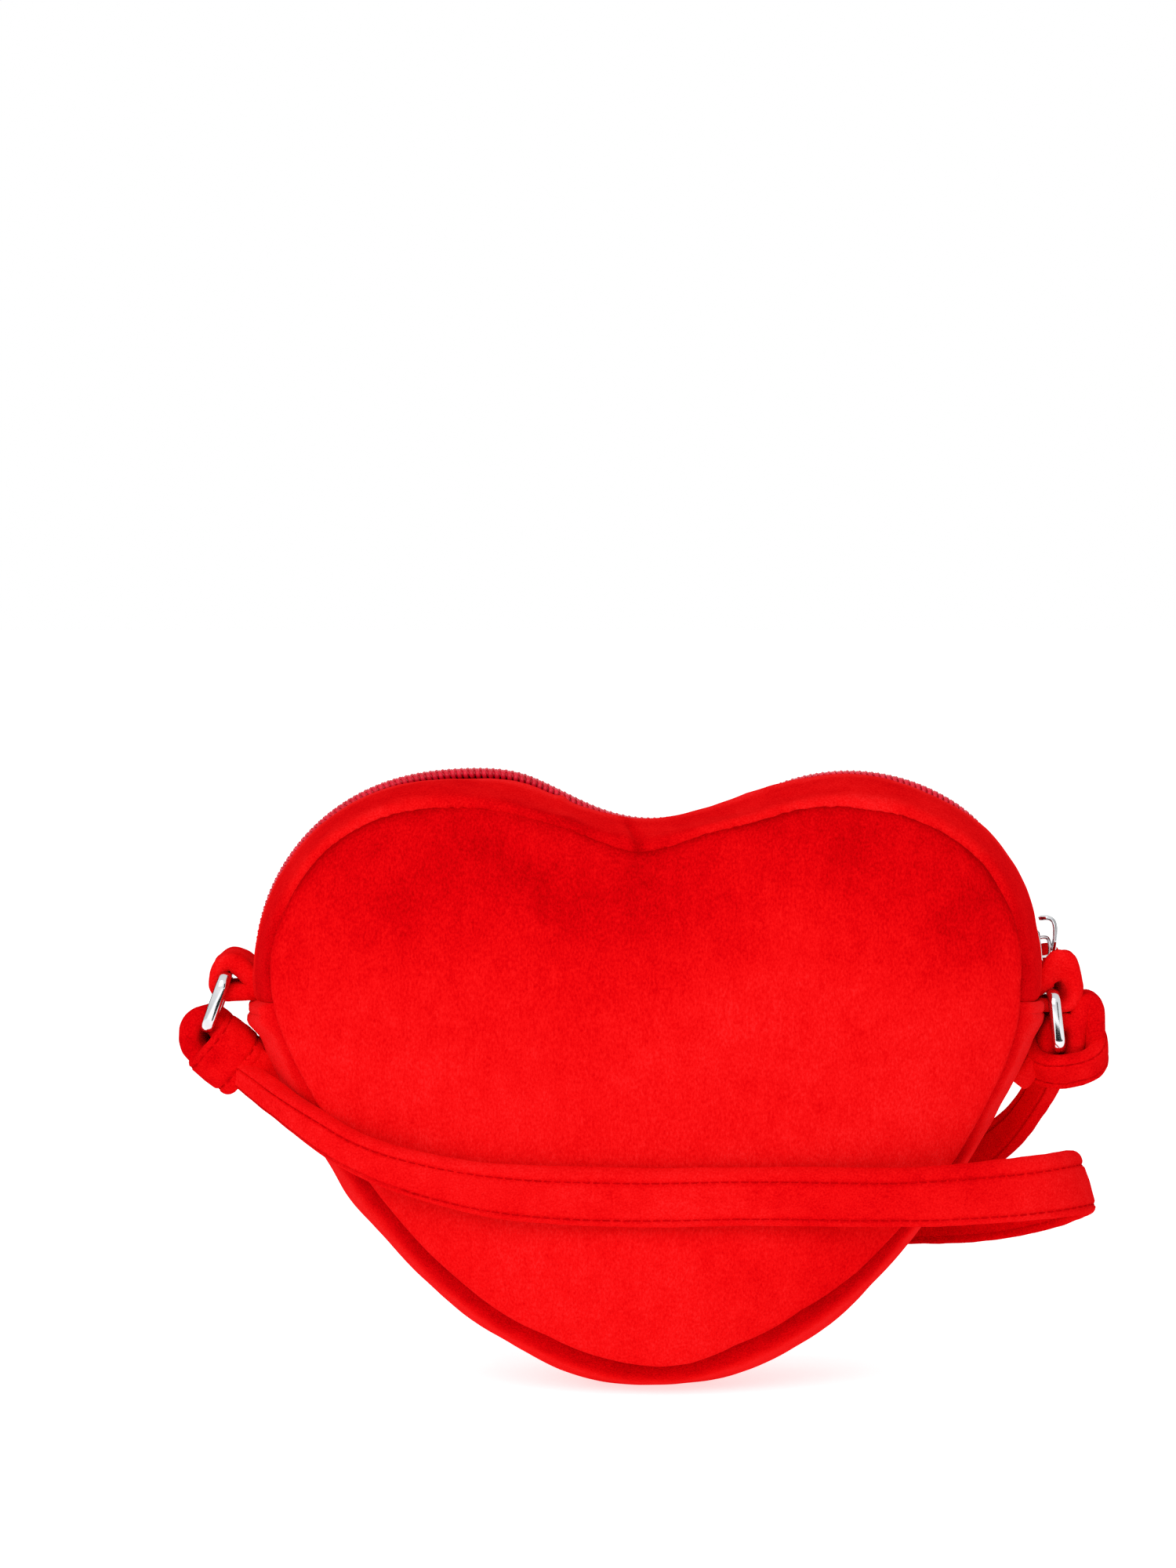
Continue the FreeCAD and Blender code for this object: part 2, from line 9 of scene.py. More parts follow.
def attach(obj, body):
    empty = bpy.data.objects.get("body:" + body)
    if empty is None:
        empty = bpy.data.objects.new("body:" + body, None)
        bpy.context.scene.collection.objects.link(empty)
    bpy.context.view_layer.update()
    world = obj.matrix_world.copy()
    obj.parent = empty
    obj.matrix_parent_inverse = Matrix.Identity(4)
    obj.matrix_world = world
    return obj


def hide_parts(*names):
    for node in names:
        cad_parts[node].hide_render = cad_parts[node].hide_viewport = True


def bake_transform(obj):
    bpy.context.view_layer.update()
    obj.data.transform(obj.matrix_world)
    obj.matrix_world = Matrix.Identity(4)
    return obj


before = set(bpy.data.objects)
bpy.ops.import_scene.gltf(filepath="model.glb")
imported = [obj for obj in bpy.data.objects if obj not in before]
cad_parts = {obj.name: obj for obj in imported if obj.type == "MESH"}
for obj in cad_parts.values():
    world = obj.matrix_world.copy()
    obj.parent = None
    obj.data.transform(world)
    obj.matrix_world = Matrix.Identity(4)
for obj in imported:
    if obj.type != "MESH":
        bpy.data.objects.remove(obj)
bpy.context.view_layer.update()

# Millimetres, in the frame of the solids: +X right, +Y to the back, +Z up
MM = 0.001

# Heart outline along the zip line
LOBE_RADIUS = 42.5
LOBE_OFFSET = 43.2
LOBE_HEIGHT = 91.0
BASE_RADIUS = 62.0
SIDE_RADIUS = 175.0
CLEFT_DROP = 9.3
FOOT_DEPTH = 1.2
ZIP_END_DROP = 9.0
LINE_STEP = 0.25

# Depth of the purse and its cloth
SEAM_DEPTH = 20.0
SEAM_INSET = 6.0
CROWN_HEIGHT = 7.0
CROWN_EDGE = 39.0
VELVET = 2.2
PADDING = 4.2
LINING = 0.6
LAYER_GAP = 0.15
SEAM_DIP = 1.5
SEAM_TUCK = 0.6
DIP_REACH = 1.8
SEAM_FOLLOW = 5.0
EDGE_PUFF = 1.1
PUFF_HEIGHT = 3.2
SEAM_Y = SEAM_DEPTH - SEAM_TUCK
LINING_DEPTH = PADDING + LAYER_GAP
GUSSET_RADIUS = (SEAM_DEPTH ** 2 + SEAM_INSET ** 2) / (2 * SEAM_INSET)

# Spacing of the points over a panel, and its rings of points inside the seam
PANEL_GRAIN = 1.7
LINING_GRAIN = 3.0
RIM_SPACING = 1.2
RIM_STEPS = (0, 0.15, 0.45, 0.9, 1.6, 2.5, 3.7)
NET_HALF = 90
NET_TOP = 135

# The seam of the panels rises to both sides of a sharp notch under the cleft
NOTCH_X = -2.4
NOTCH_RISE = 3.0
NOTCH_REACH = 14.0
NOTCH_FADE = 52.0

# How far the panel seam lies outside its even course, by the angle round the heart's middle
SHIFT_MIDDLE = (0.0, 70.0)
SHIFT_ANGLES = [
    0, 12, 24, 33, 44, 106, 117, 124, 133, 145, 155, 163, 180,
    186, 202, 219, 233, 248, 262, 272, 278, 288, 303, 316, 344, 360,
]
SHIFT_LENGTHS = [
    1.9, 0.2, 1.1, 1.5, 0.8, 0.5, -0.3, 0.3, 1.4, 2.2, 2.1, 2.4, 1.8,
    1.4, 0.5, -0.3, -1.8, -3.0, -1.9, -1.0, -1.1, -2.5, -2.3, 0.1, 2.1, 1.9,
]

# The zip strips fold over the panels between these angles; elsewhere the panels' edges puff out
FOLD_RIGHT = (14, 36)
FOLD_LEFT = (144, 166)
FOLD_OVER = 0.7
FRINGE = ((0.55, 1.3, 8.0),)
FRINGE_REACH = 1.2

# Zip
SLOT_HALF = 5.5
STRIP_REACH = SEAM_Y - SLOT_HALF - VELVET / 2
STRIP_END = 0.15
CREASE_DEPTH = 0.9
CREASE_LEAN = 3.0
PLEAT_RISE = 0.6
PLEAT_X = -21.0
PLEAT_LEAN = 2.0
TAPE_IN = 1.3
TAPE_OUT = TAPE_IN + 11.0
TAPE_THICKNESS = 0.5
TAPE_TOP = VELVET + 0.1
LINING_TOP = TAPE_TOP + TAPE_THICKNESS + LAYER_GAP
LINING_Y = SEAM_Y - 1.0
FACING_Y = 8.0
COIL_PITCH = 1.35
COIL_HALF = 1.62
COIL_MESH = 0.36
COIL_RISE = 0.72
COIL_MIDDLE = 1.16
COIL_WIRE = 0.51
COIL_HEAD = 0.18
COIL_CORD = 0.6
COIL_START = 11.6
END_SAG = 1.6
END_REACH = (20.0, 52.0)

# Sag of the zip in the cleft and its rise on the left slope: height, middle and half width
CLEFT_SAG = (1.0, 0.0, 12.0)
SLOPE_RISE = (2.4, -25.0, 13.0)

# Zip slider, measured outward from the outline
SLIDER_REST = 5.5
SLIDER_LENGTH = 8.0
SLIDER_HALF = 4.3
SLIDER_PLATE = 1.0
SLIDER_EDGE = 0.3
SLIDER_DECK = -0.6
SLIDER_FLOOR = -4.6
BAIL_TOP = 1.5

# The bottom gusset is lapped over the ends of the zip strips and stitched down
LAP = 2.3
LAP_STITCH = 2.5
LAP_THICKNESS = 0.8
LAP_GROOVE = 0.45
LEFT_LAP = 2.1
RIGHT_LAP = 0.9
LEFT_PUFF = 1.5
RIGHT_PUFF = 0.6
LEFT_FADE = (16, 50)
RIGHT_FADE = (9, 26)
FOOT_TUCK = 0.8
FOOT_ROUND = 0.5

# Low on the left the gusset is drawn in, and bulges under the strap: height, middle and half width
LEFT_PULL = (1.8, -31.0, 14.0)
LEFT_BUMP = (1.3, -64.0, 4.5)

# Strap
STRAP_WIDTH = 12.7
STRAP_THICKNESS = 3.2
STRAP_PUFF = 0.1
ROWS = (STRAP_WIDTH / 2 - 3.2, -STRAP_WIDTH / 2 + 1.5)
ROW_STARTS = (14, 52.0)
ROW_DEPTH = 0.5
ROW_HALF = 0.4
TURN_SPREAD = 0.1
STITCH_PITCH = 2.1
STITCH_LENGTH = 1.6
STITCH_RADIUS = 0.16
STITCH_SINK = 0.3

# Rings and zip pull
RING_WIRE = 2.2
RING_FACE = 2.8
RING_CORNER = 2.4
RING_PITCH = 11.9
RING_HALF = 7.85
PULL_HALF = 2.4
PULL_THICK = 0.52
METAL_EDGE = 0.1

# Unevenness of the cloth: height, size and shift of each wave
PANEL_SWELLS = ((0.35, 26.0, 0.0), (0.12, 7.0, 0.0))
GUSSET_SWELLS = ((0.35, 17.0, 3.0), (0.12, 5.0, 0.0))
STRIP_SWELLS = ((0.25, 13.0, 5.0), (0.12, 4.0, 0.0))
STRAP_SWELLS = ((0.12, 3.0, 0.0), (0.3, 14.0, 7.0))
KNOT_SWELLS = ((0.32, 5.5, 0.0), (0.14, 1.8, 0.0))

# The tone of the pile, from 0 for dark to 1 for bright, before the pile changes and the painted light and
# shade that vary it over a piece
PANEL_NAP = 0.38
# The gusset's base is set high as painted fill light, since it faces down and gets less light
GUSSET_PILE_AND_FILL_LIGHT = 0.9
STRIP_NAP = 0.4
STRAP_NAP = 0.7
CUFF_NAP = 0.52
LOOP_NAP = 0.44
TAIL_NAP = 0.62

# Floor, light and camera, in metres and degrees
FLOOR_HALF = 6.0
FLOOR_LEVEL = -0.0002
FLOOR_BOUNCE = 0.3
FLOOR_GLOW = 0.66
ROOM_GLOW = 0.63
LAMP_PLACE = (-0.35, -1.3, 1.0)
LAMP_AIM = (0, 0, 0.07)
LAMP_SIZE = 1.0
LAMP_POWER = 10.5
LENS = 116.5
CAMERA_PLACE = (-0.0133, -1.0982, 0.1939)
CAMERA_DIP = 3.3


def smooth(low, high, value):
    """0 below low, 1 above high, and an S curve between them."""
    share = np.clip((np.asarray(value, float) - low) / (high - low), 0, 1)
    return share * share * (3 - 2 * share)


def hump(value, height, middle, half):
    """A bell of a height round a middle; half is about half its width."""
    return height * np.exp(-(((value - middle) / half) ** 2))


def ripple(points, size, shift=0.0):
    """Smooth noise from -1 to 1 at points."""
    offset = Vector((shift, shift, shift))
    flat = np.reshape(points, (-1, 3))
    values = [noise.noise(Vector(point) / size + offset) for point in flat]
    return np.reshape(values, np.shape(points)[:-1])


def swells(points, waves):
    """Unevenness at points, from waves of height, size and shift."""
    return sum(height * ripple(points, size, shift) for height, size, shift in waves)


def unit(vectors):
    """Vectors made one long."""
    return vectors / np.linalg.norm(vectors, axis=-1, keepdims=True)


def run_lengths(path):
    """Length along a path at its points."""
    steps = np.linalg.norm(np.diff(path, axis=0), axis=1)
    return np.concatenate([[0], np.cumsum(steps)])


# Outline


def arc_run(x, z, radius, start, end, bulge):
    """Places along an arc, and the ways out of the heart."""
    count = math.ceil(abs(math.radians(end - start)) * radius / LINE_STEP)
    turns = np.radians(np.linspace(start, end, count + 1))
    rays = np.stack([np.cos(turns), np.sin(turns)], axis=1)
    return np.array([x, z]) + radius * rays, bulge * rays


def heart_line():
    """Closed outline from the right side seam over the top, and where the zip ends."""
    base_z = BASE_RADIUS - FOOT_DEPTH
    low = SIDE_RADIUS - BASE_RADIUS
    high = SIDE_RADIUS - LOBE_RADIUS
    rise = LOBE_HEIGHT - base_z
    span = math.hypot(LOBE_OFFSET, rise)
    along = (low ** 2 - high ** 2 + span ** 2) / (2 * span)
    across = math.sqrt(low ** 2 - along ** 2)
    side_x = (along * LOBE_OFFSET - across * rise) / span
    side_z = base_z + (along * rise + across * LOBE_OFFSET) / span
    lift = LOBE_RADIUS - CLEFT_DROP
    cleft_radius = (LOBE_OFFSET ** 2 + lift ** 2 - LOBE_RADIUS ** 2) / (2 * CLEFT_DROP)
    cleft_z = LOBE_HEIGHT + lift + cleft_radius
    to_lobe = math.degrees(math.atan2(LOBE_HEIGHT - side_z, LOBE_OFFSET - side_x))
    to_base = math.degrees(math.atan2(base_z - side_z, -side_x))
    to_cleft = math.degrees(math.atan2(cleft_z - LOBE_HEIGHT, -LOBE_OFFSET))
    seam = -math.degrees(math.asin(ZIP_END_DROP / LOBE_RADIUS))
    lobe = (LOBE_OFFSET, LOBE_HEIGHT, LOBE_RADIUS)
    left_lobe = (-LOBE_OFFSET, LOBE_HEIGHT, LOBE_RADIUS)
    runs = [
        arc_run(*lobe, seam, to_cleft, 1),
        arc_run(0, cleft_z, cleft_radius, to_cleft - 180, -to_cleft, -1),
        arc_run(*left_lobe, 180 - to_cleft, 180 - seam, 1),
        arc_run(*left_lobe, 180 - seam, 180 - to_lobe, 1),
        arc_run(-side_x, side_z, SIDE_RADIUS, 180 - to_lobe, 180 - to_base, 1),
        arc_run(0, base_z, BASE_RADIUS, -180 - to_base, to_base, 1),
        arc_run(side_x, side_z, SIDE_RADIUS, to_base, to_lobe, 1),
        arc_run(*lobe, to_lobe, seam, 1),
    ]
    places, rays = (np.concatenate([run[:-1] for run in kind] + [kind[0][:1]]) for kind in zip(*runs))
    lengths = run_lengths(places)
    zip_count = sum(len(run[0]) - 1 for run in runs[:3])
    return places, rays, lengths, lengths[zip_count]


LINE_PLACES, LINE_RAYS, LINE_LENGTHS, ZIP_LENGTH = heart_line()
LINE_LENGTH = LINE_LENGTHS[-1]
ZIP_ENDS = (0.2, ZIP_LENGTH - 0.2)


def on_line(run):
    """X, Z and the way out, at lengths along the outline."""
    run = np.mod(run, LINE_LENGTH)
    return [np.interp(run, LINE_LENGTHS, column) for column in (*LINE_PLACES.T, *LINE_RAYS.T)]


def beside_line(run, y, out):
    """Points at depth y, moved out from the outline."""
    x, z, ray_x, ray_z = on_line(run)
    return np.stack(np.broadcast_arrays(x + ray_x * out, y, z + ray_z * out), axis=-1)


def bulge(y, depth=0.0):
    """How far a gusset layer stands out from the outline."""
    return -GUSSET_RADIUS + np.sqrt((GUSSET_RADIUS - depth) ** 2 - np.square(y))


def heart_angle(x, z):
    """Degrees round the heart's middle, 0 to 360."""
    return np.mod(np.degrees(np.arctan2(z - SHIFT_MIDDLE[1], x - SHIFT_MIDDLE[0])), 360)


def seam_shift(run):
    """How far the panel seam lies outside its even course."""
    x, z = on_line(run)[:2]
    away = np.abs(x - NOTCH_X)
    near = np.clip(away / NOTCH_REACH, 0, 1)
    far = 1 - smooth(NOTCH_REACH, NOTCH_FADE, away)
    notch = NOTCH_RISE * near * far * (z > LOBE_HEIGHT)
    return notch + np.interp(heart_angle(x, z), SHIFT_ANGLES, SHIFT_LENGTHS)


def fold_share(x, z):
    """1 over the lobes, where the strip folds over the panel, else 0."""
    angle = heart_angle(x, z)
    return smooth(*FOLD_RIGHT, angle) * (1 - smooth(*FOLD_LEFT, angle))


# Mesh helpers


def placed(name, data):
    """A new object in the scene."""
    thing = bpy.data.objects.new(name, data)
    bpy.context.scene.collection.objects.link(thing)
    return thing


def new_piece(name, points, faces, material, slot):
    """A smooth mesh piece from points in millimetres."""
    mesh = bpy.data.meshes.new(name)
    scaled = np.asarray(points, float) * MM
    mesh.from_pydata(scaled.tolist(), [], faces)
    work = bmesh.new()
    work.from_mesh(mesh)
    bmesh.ops.recalc_face_normals(work, faces=work.faces)
    work.to_mesh(mesh)
    work.free()
    mesh.shade_smooth()
    mesh.materials.append(material)
    piece = placed(name, mesh)
    return piece


def loft(rings, closed=False):
    """A skin over rings of points; an open one is capped."""
    rings = np.asarray(rings, float)
    rows = np.arange(rings.shape[0] * rings.shape[1]).reshape(rings.shape[:2])
    here = rows if closed else rows[:-1]
    there = np.roll(rows, -1, axis=0)[:len(here)]
    quads = np.stack([here, np.roll(here, -1, 1), np.roll(there, -1, 1), there], axis=-1)
    faces = quads.reshape(-1, 4).tolist()
    if not closed:
        faces += [rows[0].tolist(), rows[-1].tolist()]
    return rings.reshape(-1, 3), faces


def joined(parts):
    """Several skins as one."""
    faces = []
    start = 0
    for part_points, part_faces in parts:
        faces.extend(tuple(corner + start for corner in face) for face in part_faces)
        start += len(part_points)
    return np.concatenate([part_points for part_points, part_faces in parts]), faces


def store_pile_and_light(piece, values):
    """Store the pile tone, with its painted light and shade, for the material to read."""
    layer = piece.data.attributes.new("pile_and_light", "FLOAT", "POINT")
    layer.data.foreach_set("value", np.asarray(values, np.float32))


def corners_of(piece):
    """A piece's points in millimetres."""
    places = np.zeros(len(piece.data.vertices) * 3)
    piece.data.vertices.foreach_get("co", places)
    return places.reshape(-1, 3) / MM


def applied(piece):
    """Make a piece's modifiers part of its mesh."""
    graph = bpy.context.evaluated_depsgraph_get()
    mesh = bpy.data.meshes.new_from_object(piece.evaluated_get(graph))
    piece.modifiers.clear()
    piece.data = mesh


def thicken(piece, thickness):
    """Give a sheet its thickness, inward."""
    solidify = piece.modifiers.new("thickness", "SOLIDIFY")
    solidify.thickness = thickness * MM
    solidify.offset = -1
    applied(piece)


def squared(values, power):
    """Sines drawn towards a square's corners by a power below 1."""
    return np.sign(values) * np.abs(values) ** power


def bar_section(count, half_wide, half_thick, wide_power=1.0, thick_power=1.0):
    """Outline of a bar: an ellipse, squarer with powers below 1."""
    turns = np.linspace(0, 2 * math.pi, count + 1)[:-1]
    wide = half_wide * squared(np.cos(turns), wide_power)
    return np.stack([wide, half_thick * squared(np.sin(turns), thick_power)], axis=1)


def strap_section(rows):
    """Outline of the folded strap, with a groove under each stitch row."""
    half = STRAP_WIDTH / 2
    radius = STRAP_THICKNESS / 2
    flat = np.linspace(half - radius, radius - half, 33)
    puff = radius * (1 + STRAP_PUFF * (1 - (flat / half) ** 2))
    for row in rows:
        puff = puff - hump(flat, ROW_DEPTH, row, ROW_HALF)
    turns = np.linspace(0, math.pi, 9)[1:-1]
    edge = np.stack([radius * np.sin(turns), radius * np.cos(turns)], axis=1)
    upper = np.stack([flat, puff], axis=1)
    left = np.stack([radius - half - edge[:, 0], edge[:, 1]], axis=1)
    return np.concatenate([upper, left, upper[::-1] * (1, -1), -left])


def path_frame(path, wide, closed=False):
    """Directions along a path, across its width and out of its face."""
    if closed:
        heading = unit(np.roll(path, -1, axis=0) - np.roll(path, 1, axis=0))
    else:
        heading = unit(np.gradient(path, axis=0))
    wide = np.broadcast_to(wide, path.shape)
    wide = unit(wide - heading * np.sum(wide * heading, axis=1, keepdims=True))
    return heading, wide, np.cross(heading, wide)


def sweep(path, wide, section, breadth=1.0, bulk=1.0, closed=False):
    """Rings of a section along a path; breadth and bulk scale it."""
    _, wide, flat = path_frame(path, wide, closed)
    across = wide[:, None] * section[None, :, :1] * np.reshape(breadth, (-1, 1, 1))
    through = flat[:, None] * section[None, :, 1:] * np.reshape(bulk, (-1, 1, 1))
    return path[:, None] + across + through


def spline_line(points):
    """Points along the smooth line that control points give."""
    curve = bpy.data.curves.new("line", "CURVE")
    curve.dimensions = "3D"
    curve.resolution_u = 14
    spline = curve.splines.new("NURBS")
    spline.points.add(len(points) - 1)
    for place, point in zip(spline.points, points):
        place.co = (*point, 1)
    spline.order_u = 3
    spline.use_endpoint_u = True
    holder = bpy.data.objects.new("line", curve)
    mesh = bpy.data.meshes.new_from_object(holder)
    line = np.array([tuple(vertex.co) for vertex in mesh.vertices])
    bpy.data.objects.remove(holder)
    bpy.data.curves.remove(curve)
    bpy.data.meshes.remove(mesh)
    return line


# Materials


def tone(red, green, blue):
    """Linear colour from 0 to 255 values."""
    shares = np.array([red, green, blue]) / 255
    linear = np.where(shares <= 0.04045, shares / 12.92, ((shares + 0.055) / 1.055) ** 2.4)
    return (*linear, 1.0)


def new_material(name):
    """A material with its node tree and shader."""
    material = bpy.data.materials.new(name)
    material.use_nodes = True
    tree = material.node_tree
    return material, tree, tree.nodes["Principled BSDF"]


def fill(node, inputs):
    """Give a node's inputs values or other nodes' outputs."""
    for name, value in inputs.items():
        if isinstance(value, bpy.types.NodeSocket):
            node.id_data.links.new(value, node.inputs[name])
        else:
            node.inputs[name].default_value = value


def add_node(tree, kind, inputs=None, **settings):
    """A node with its settings and inputs."""
    node = tree.nodes.new("ShaderNode" + kind)
    for name, value in settings.items():
        setattr(node, name, value)
    fill(node, inputs or {})
    return node


def noise_node(tree, scale, detail, stretch=(1, 1, 1)):
    """Noise in object space; a stretch below 1 draws it out."""
    place = add_node(tree, "TexCoord")
    mapping = add_node(tree, "Mapping", {"Vector": place.outputs["Object"], "Scale": stretch})
    inputs = {"Vector": mapping.outputs["Vector"], "Scale": scale, "Detail": detail, "Roughness": 0.6}
    return add_node(tree, "TexNoise", inputs).outputs["Fac"]


def math_node(operation, first, second, clamp=False):
    """The sum or product of two values or outputs."""
    inputs = {0: first, 1: second}
    return add_node(first.id_data, "Math", inputs, operation=operation, use_clamp=clamp).outputs[0]


def scaled_node(value, low, high):
    """An output from 0 to 1, mapped to a range."""
    inputs = {"Value": value, "To Min": low, "To Max": high}
    return add_node(value.id_data, "MapRange", inputs).outputs["Result"]


def ramp_node(value, stops):
    """Colours along a value."""
    node = add_node(value.id_data, "ValToRGB", {"Fac": value})
    elements = node.color_ramp.elements
    while len(elements) < len(stops):
        elements.new(0.5)
    for element, (place, colour) in zip(elements, stops):
        element.position = place
        element.color = colour
    return node.outputs["Color"]


def bump_node(height, strength, distance):
    """A normal that follows a height."""
    inputs = {"Height": height, "Strength": strength, "Distance": distance * MM}
    return add_node(height.id_data, "Bump", inputs).outputs["Normal"]


VELVET_TONES = [
    (0.0, tone(168, 0, 4)),
    (0.35, tone(212, 2, 9)),
    (0.55, tone(229, 9, 13)),
    (0.75, tone(240, 18, 20)),
    (1.0, tone(248, 34, 36)),
]


def velvet_material(name, stretch):
    """Red plush, lighter or darker by the way its pile lies and by the painted light and shade stored on
    each piece.
    """
    material, tree, shader = new_material(name)
    # The stored value is pile tone with painted light and shade, from 0 for dark to 1 for bright
    shade = add_node(tree, "Attribute", attribute_name="pile_and_light").outputs["Fac"]
    tuft = noise_node(tree, 2500, 3, stretch)
    clump = noise_node(tree, 330, 3, stretch)
    patch = noise_node(tree, 60, 2)
    for texture, weight in ((tuft, 1.05), (clump, 0.32), (patch, 0.35)):
        part = scaled_node(texture, -weight / 2, weight / 2)
        shade = math_node("ADD", shade, part)
    fill(shader, {
        "Base Color": ramp_node(shade, VELVET_TONES),
        "Roughness": scaled_node(clump, 0.85, 1.0),
        "Normal": bump_node(math_node("ADD", tuft, clump), strength=0.5, distance=0.2),
        "Specular IOR Level": 0.0,
        "Sheen Weight": 0.2,
        "Sheen Roughness": 0.35,
        "Sheen Tint": tone(255, 44, 48),
    })
    return material


def woven_material(name, dark, light, threads, gloss):
    """Plain woven cloth with threads both ways."""
    material, tree, shader = new_material(name)
    place = add_node(tree, "TexCoord").outputs["Object"]
    inputs = {"Vector": place, "Scale": threads, "Distortion": 0.6, "Detail": 1.0}
    waves = [add_node(tree, "TexWave", inputs, bands_direction=way) for way in ("X", "Z")]
    weave = math_node("MULTIPLY", *(wave.outputs["Fac"] for wave in waves))
    patch = noise_node(tree, 90, 3)
    mix = math_node("ADD", weave, scaled_node(patch, -0.25, 0.25))
    fill(shader, {
        "Base Color": ramp_node(mix, [(0.0, dark), (0.8, light)]),
        "Roughness": scaled_node(patch, gloss, gloss + 0.2),
        "Normal": bump_node(weave, strength=0.4, distance=0.15),
        "Specular IOR Level": 0.25,
    })
    return material


def nylon_material(name, dark, light, shine):
    """Moulded nylon or thread."""
    material, tree, shader = new_material(name)
    grain = noise_node(tree, 900, 3)
    mix = math_node("ADD", grain, scaled_node(noise_node(tree, 140, 2), -0.3, 0.3))
    fill(shader, {
        "Base Color": ramp_node(mix, [(0.25, dark), (0.75, light)]),
        "Roughness": scaled_node(grain, 0.3, 0.5),
        "Normal": bump_node(grain, strength=0.2, distance=0.05),
        "Specular IOR Level": shine,
    })
    return material


def metal_material(name):
    """Bright plated metal with faint rubbing marks."""
    material, tree, shader = new_material(name)
    rub = noise_node(tree, 700, 4, (1, 1, 0.2))
    stops = [(0.3, tone(196, 197, 200)), (0.7, tone(232, 233, 235))]
    fill(shader, {
        "Base Color": ramp_node(noise_node(tree, 160, 2), stops),
        "Roughness": scaled_node(rub, 0.06, 0.2),
        "Normal": bump_node(rub, strength=0.08, distance=0.03),
        "Metallic": 1.0,
    })
    return material


PANEL_VELVET = velvet_material("panel_velvet", (1.0, 1.0, 0.55))
BAND_VELVET = velvet_material("band_velvet", (1.0, 1.0, 1.0))
LINING_CLOTH = woven_material("lining_cloth", tone(150, 8, 16), tone(205, 20, 28), threads=900, gloss=0.45)
TAPE_CLOTH = woven_material("tape_cloth", tone(186, 3, 26), tone(236, 14, 40), threads=1100, gloss=0.6)
COIL_NYLON = nylon_material("coil_nylon", tone(206, 5, 34), tone(246, 26, 62), shine=0.3)
THREAD = nylon_material("thread", tone(184, 0, 7), tone(214, 2, 11), shine=0.0)
METAL = metal_material("plated_metal")


# Panels

RIM_RUN = np.arange(0, LINE_LENGTH, RIM_SPACING)


def seam_inset(run):
    """How far inside the outline a panel's seam lies."""
    return SEAM_INSET + SEAM_DIP - seam_shift(run)


def rim_line(depth):
    """X and Z along a panel's rim, some depth inside its seam."""
    return beside_line(RIM_RUN, 0, -seam_inset(RIM_RUN) - depth)[:, [0, 2]]


def panel_net(grain, margin):
    """Points over a panel and the triangles between them."""
    rings = [rim_line(margin + step) for step in RIM_STEPS]
    xs = np.arange(-NET_HALF, NET_HALF, grain)
    zs = np.arange(0, NET_TOP, grain * math.sqrt(3) / 2)
    grid = np.array([(x + grain / 2 * (row % 2), z) for row, z in enumerate(zs) for x in xs])
    inset, seam, _ = panel_depth(grid)
    inner = grid[inset > seam + margin + RIM_STEPS[-1] + 0.6 * grain]
    points = [Vector(point) for point in np.concatenate(rings + [inner])]
    count = len(RIM_RUN)
    border = [(corner, (corner + 1) % count) for corner in range(count)]
    places, _, faces, *_ = geometry.delaunay_2d_cdt(points, border, [], 1, 1e-5)
    return np.array([tuple(place) for place in places]), [tuple(face) for face in faces]


def panel_depth(flat):
    """How far inside the outline places are, how far the seam is there, and the way out."""
    line = LINE_PLACES[:-1:2]
    rays = LINE_RAYS[:-1:2]
    inset = np.zeros(len(flat))
    nearest = np.zeros(len(flat), int)
    for first in range(0, len(flat), 1000):
        part = slice(first, first + 1000)
        gaps = np.linalg.norm(flat[part, None] - line[None], axis=2)
        best = np.argmin(gaps, axis=1)
        inward = np.sum((flat[part] - line[best]) * rays[best], axis=1) < 0
        inset[part] = np.where(inward, np.min(gaps, axis=1), -1)
        nearest[part] = best
    return inset, seam_inset(LINE_LENGTHS[:-1:2][nearest]), rays[nearest]


# Soft dents of the front panel: X, Z, half length, half width, degrees of tilt and depth
DENTS = [
    (-25.0, 112.0, 16.0, 4.0, -38.0, 1.2),
    (-47.0, 112.0, 11.0, 4.5, 65.0, 0.8),
    (43.0, 117.5, 10.0, 4.0, 58.0, 1.1),
    (70.0, 106.0, 14.0, 4.5, 28.0, 0.9),
    (68.0, 95.0, 13.0, 5.0, 22.0, 0.8),
    (0.0, 108.0, 16.0, 9.0, 0.0, 0.7),
    (-62.0, 98.0, 12.0, 7.0, 15.0, 0.4),
]


def dent_depths(flat):
    """How far the front panel is pressed in."""
    total = np.zeros(len(flat))
    for x, z, long, short, tilt, depth in DENTS:
        turn = math.radians(tilt)
        away = flat - np.array([x, z])
        lengthwise = away[:, 0] * math.cos(turn) + away[:, 1] * math.sin(turn)
        sideways = away[:, 1] * math.cos(turn) - away[:, 0] * math.sin(turn)
        total += hump(lengthwise, depth, 0, long) * hump(sideways, 1, 0, short)
    return total


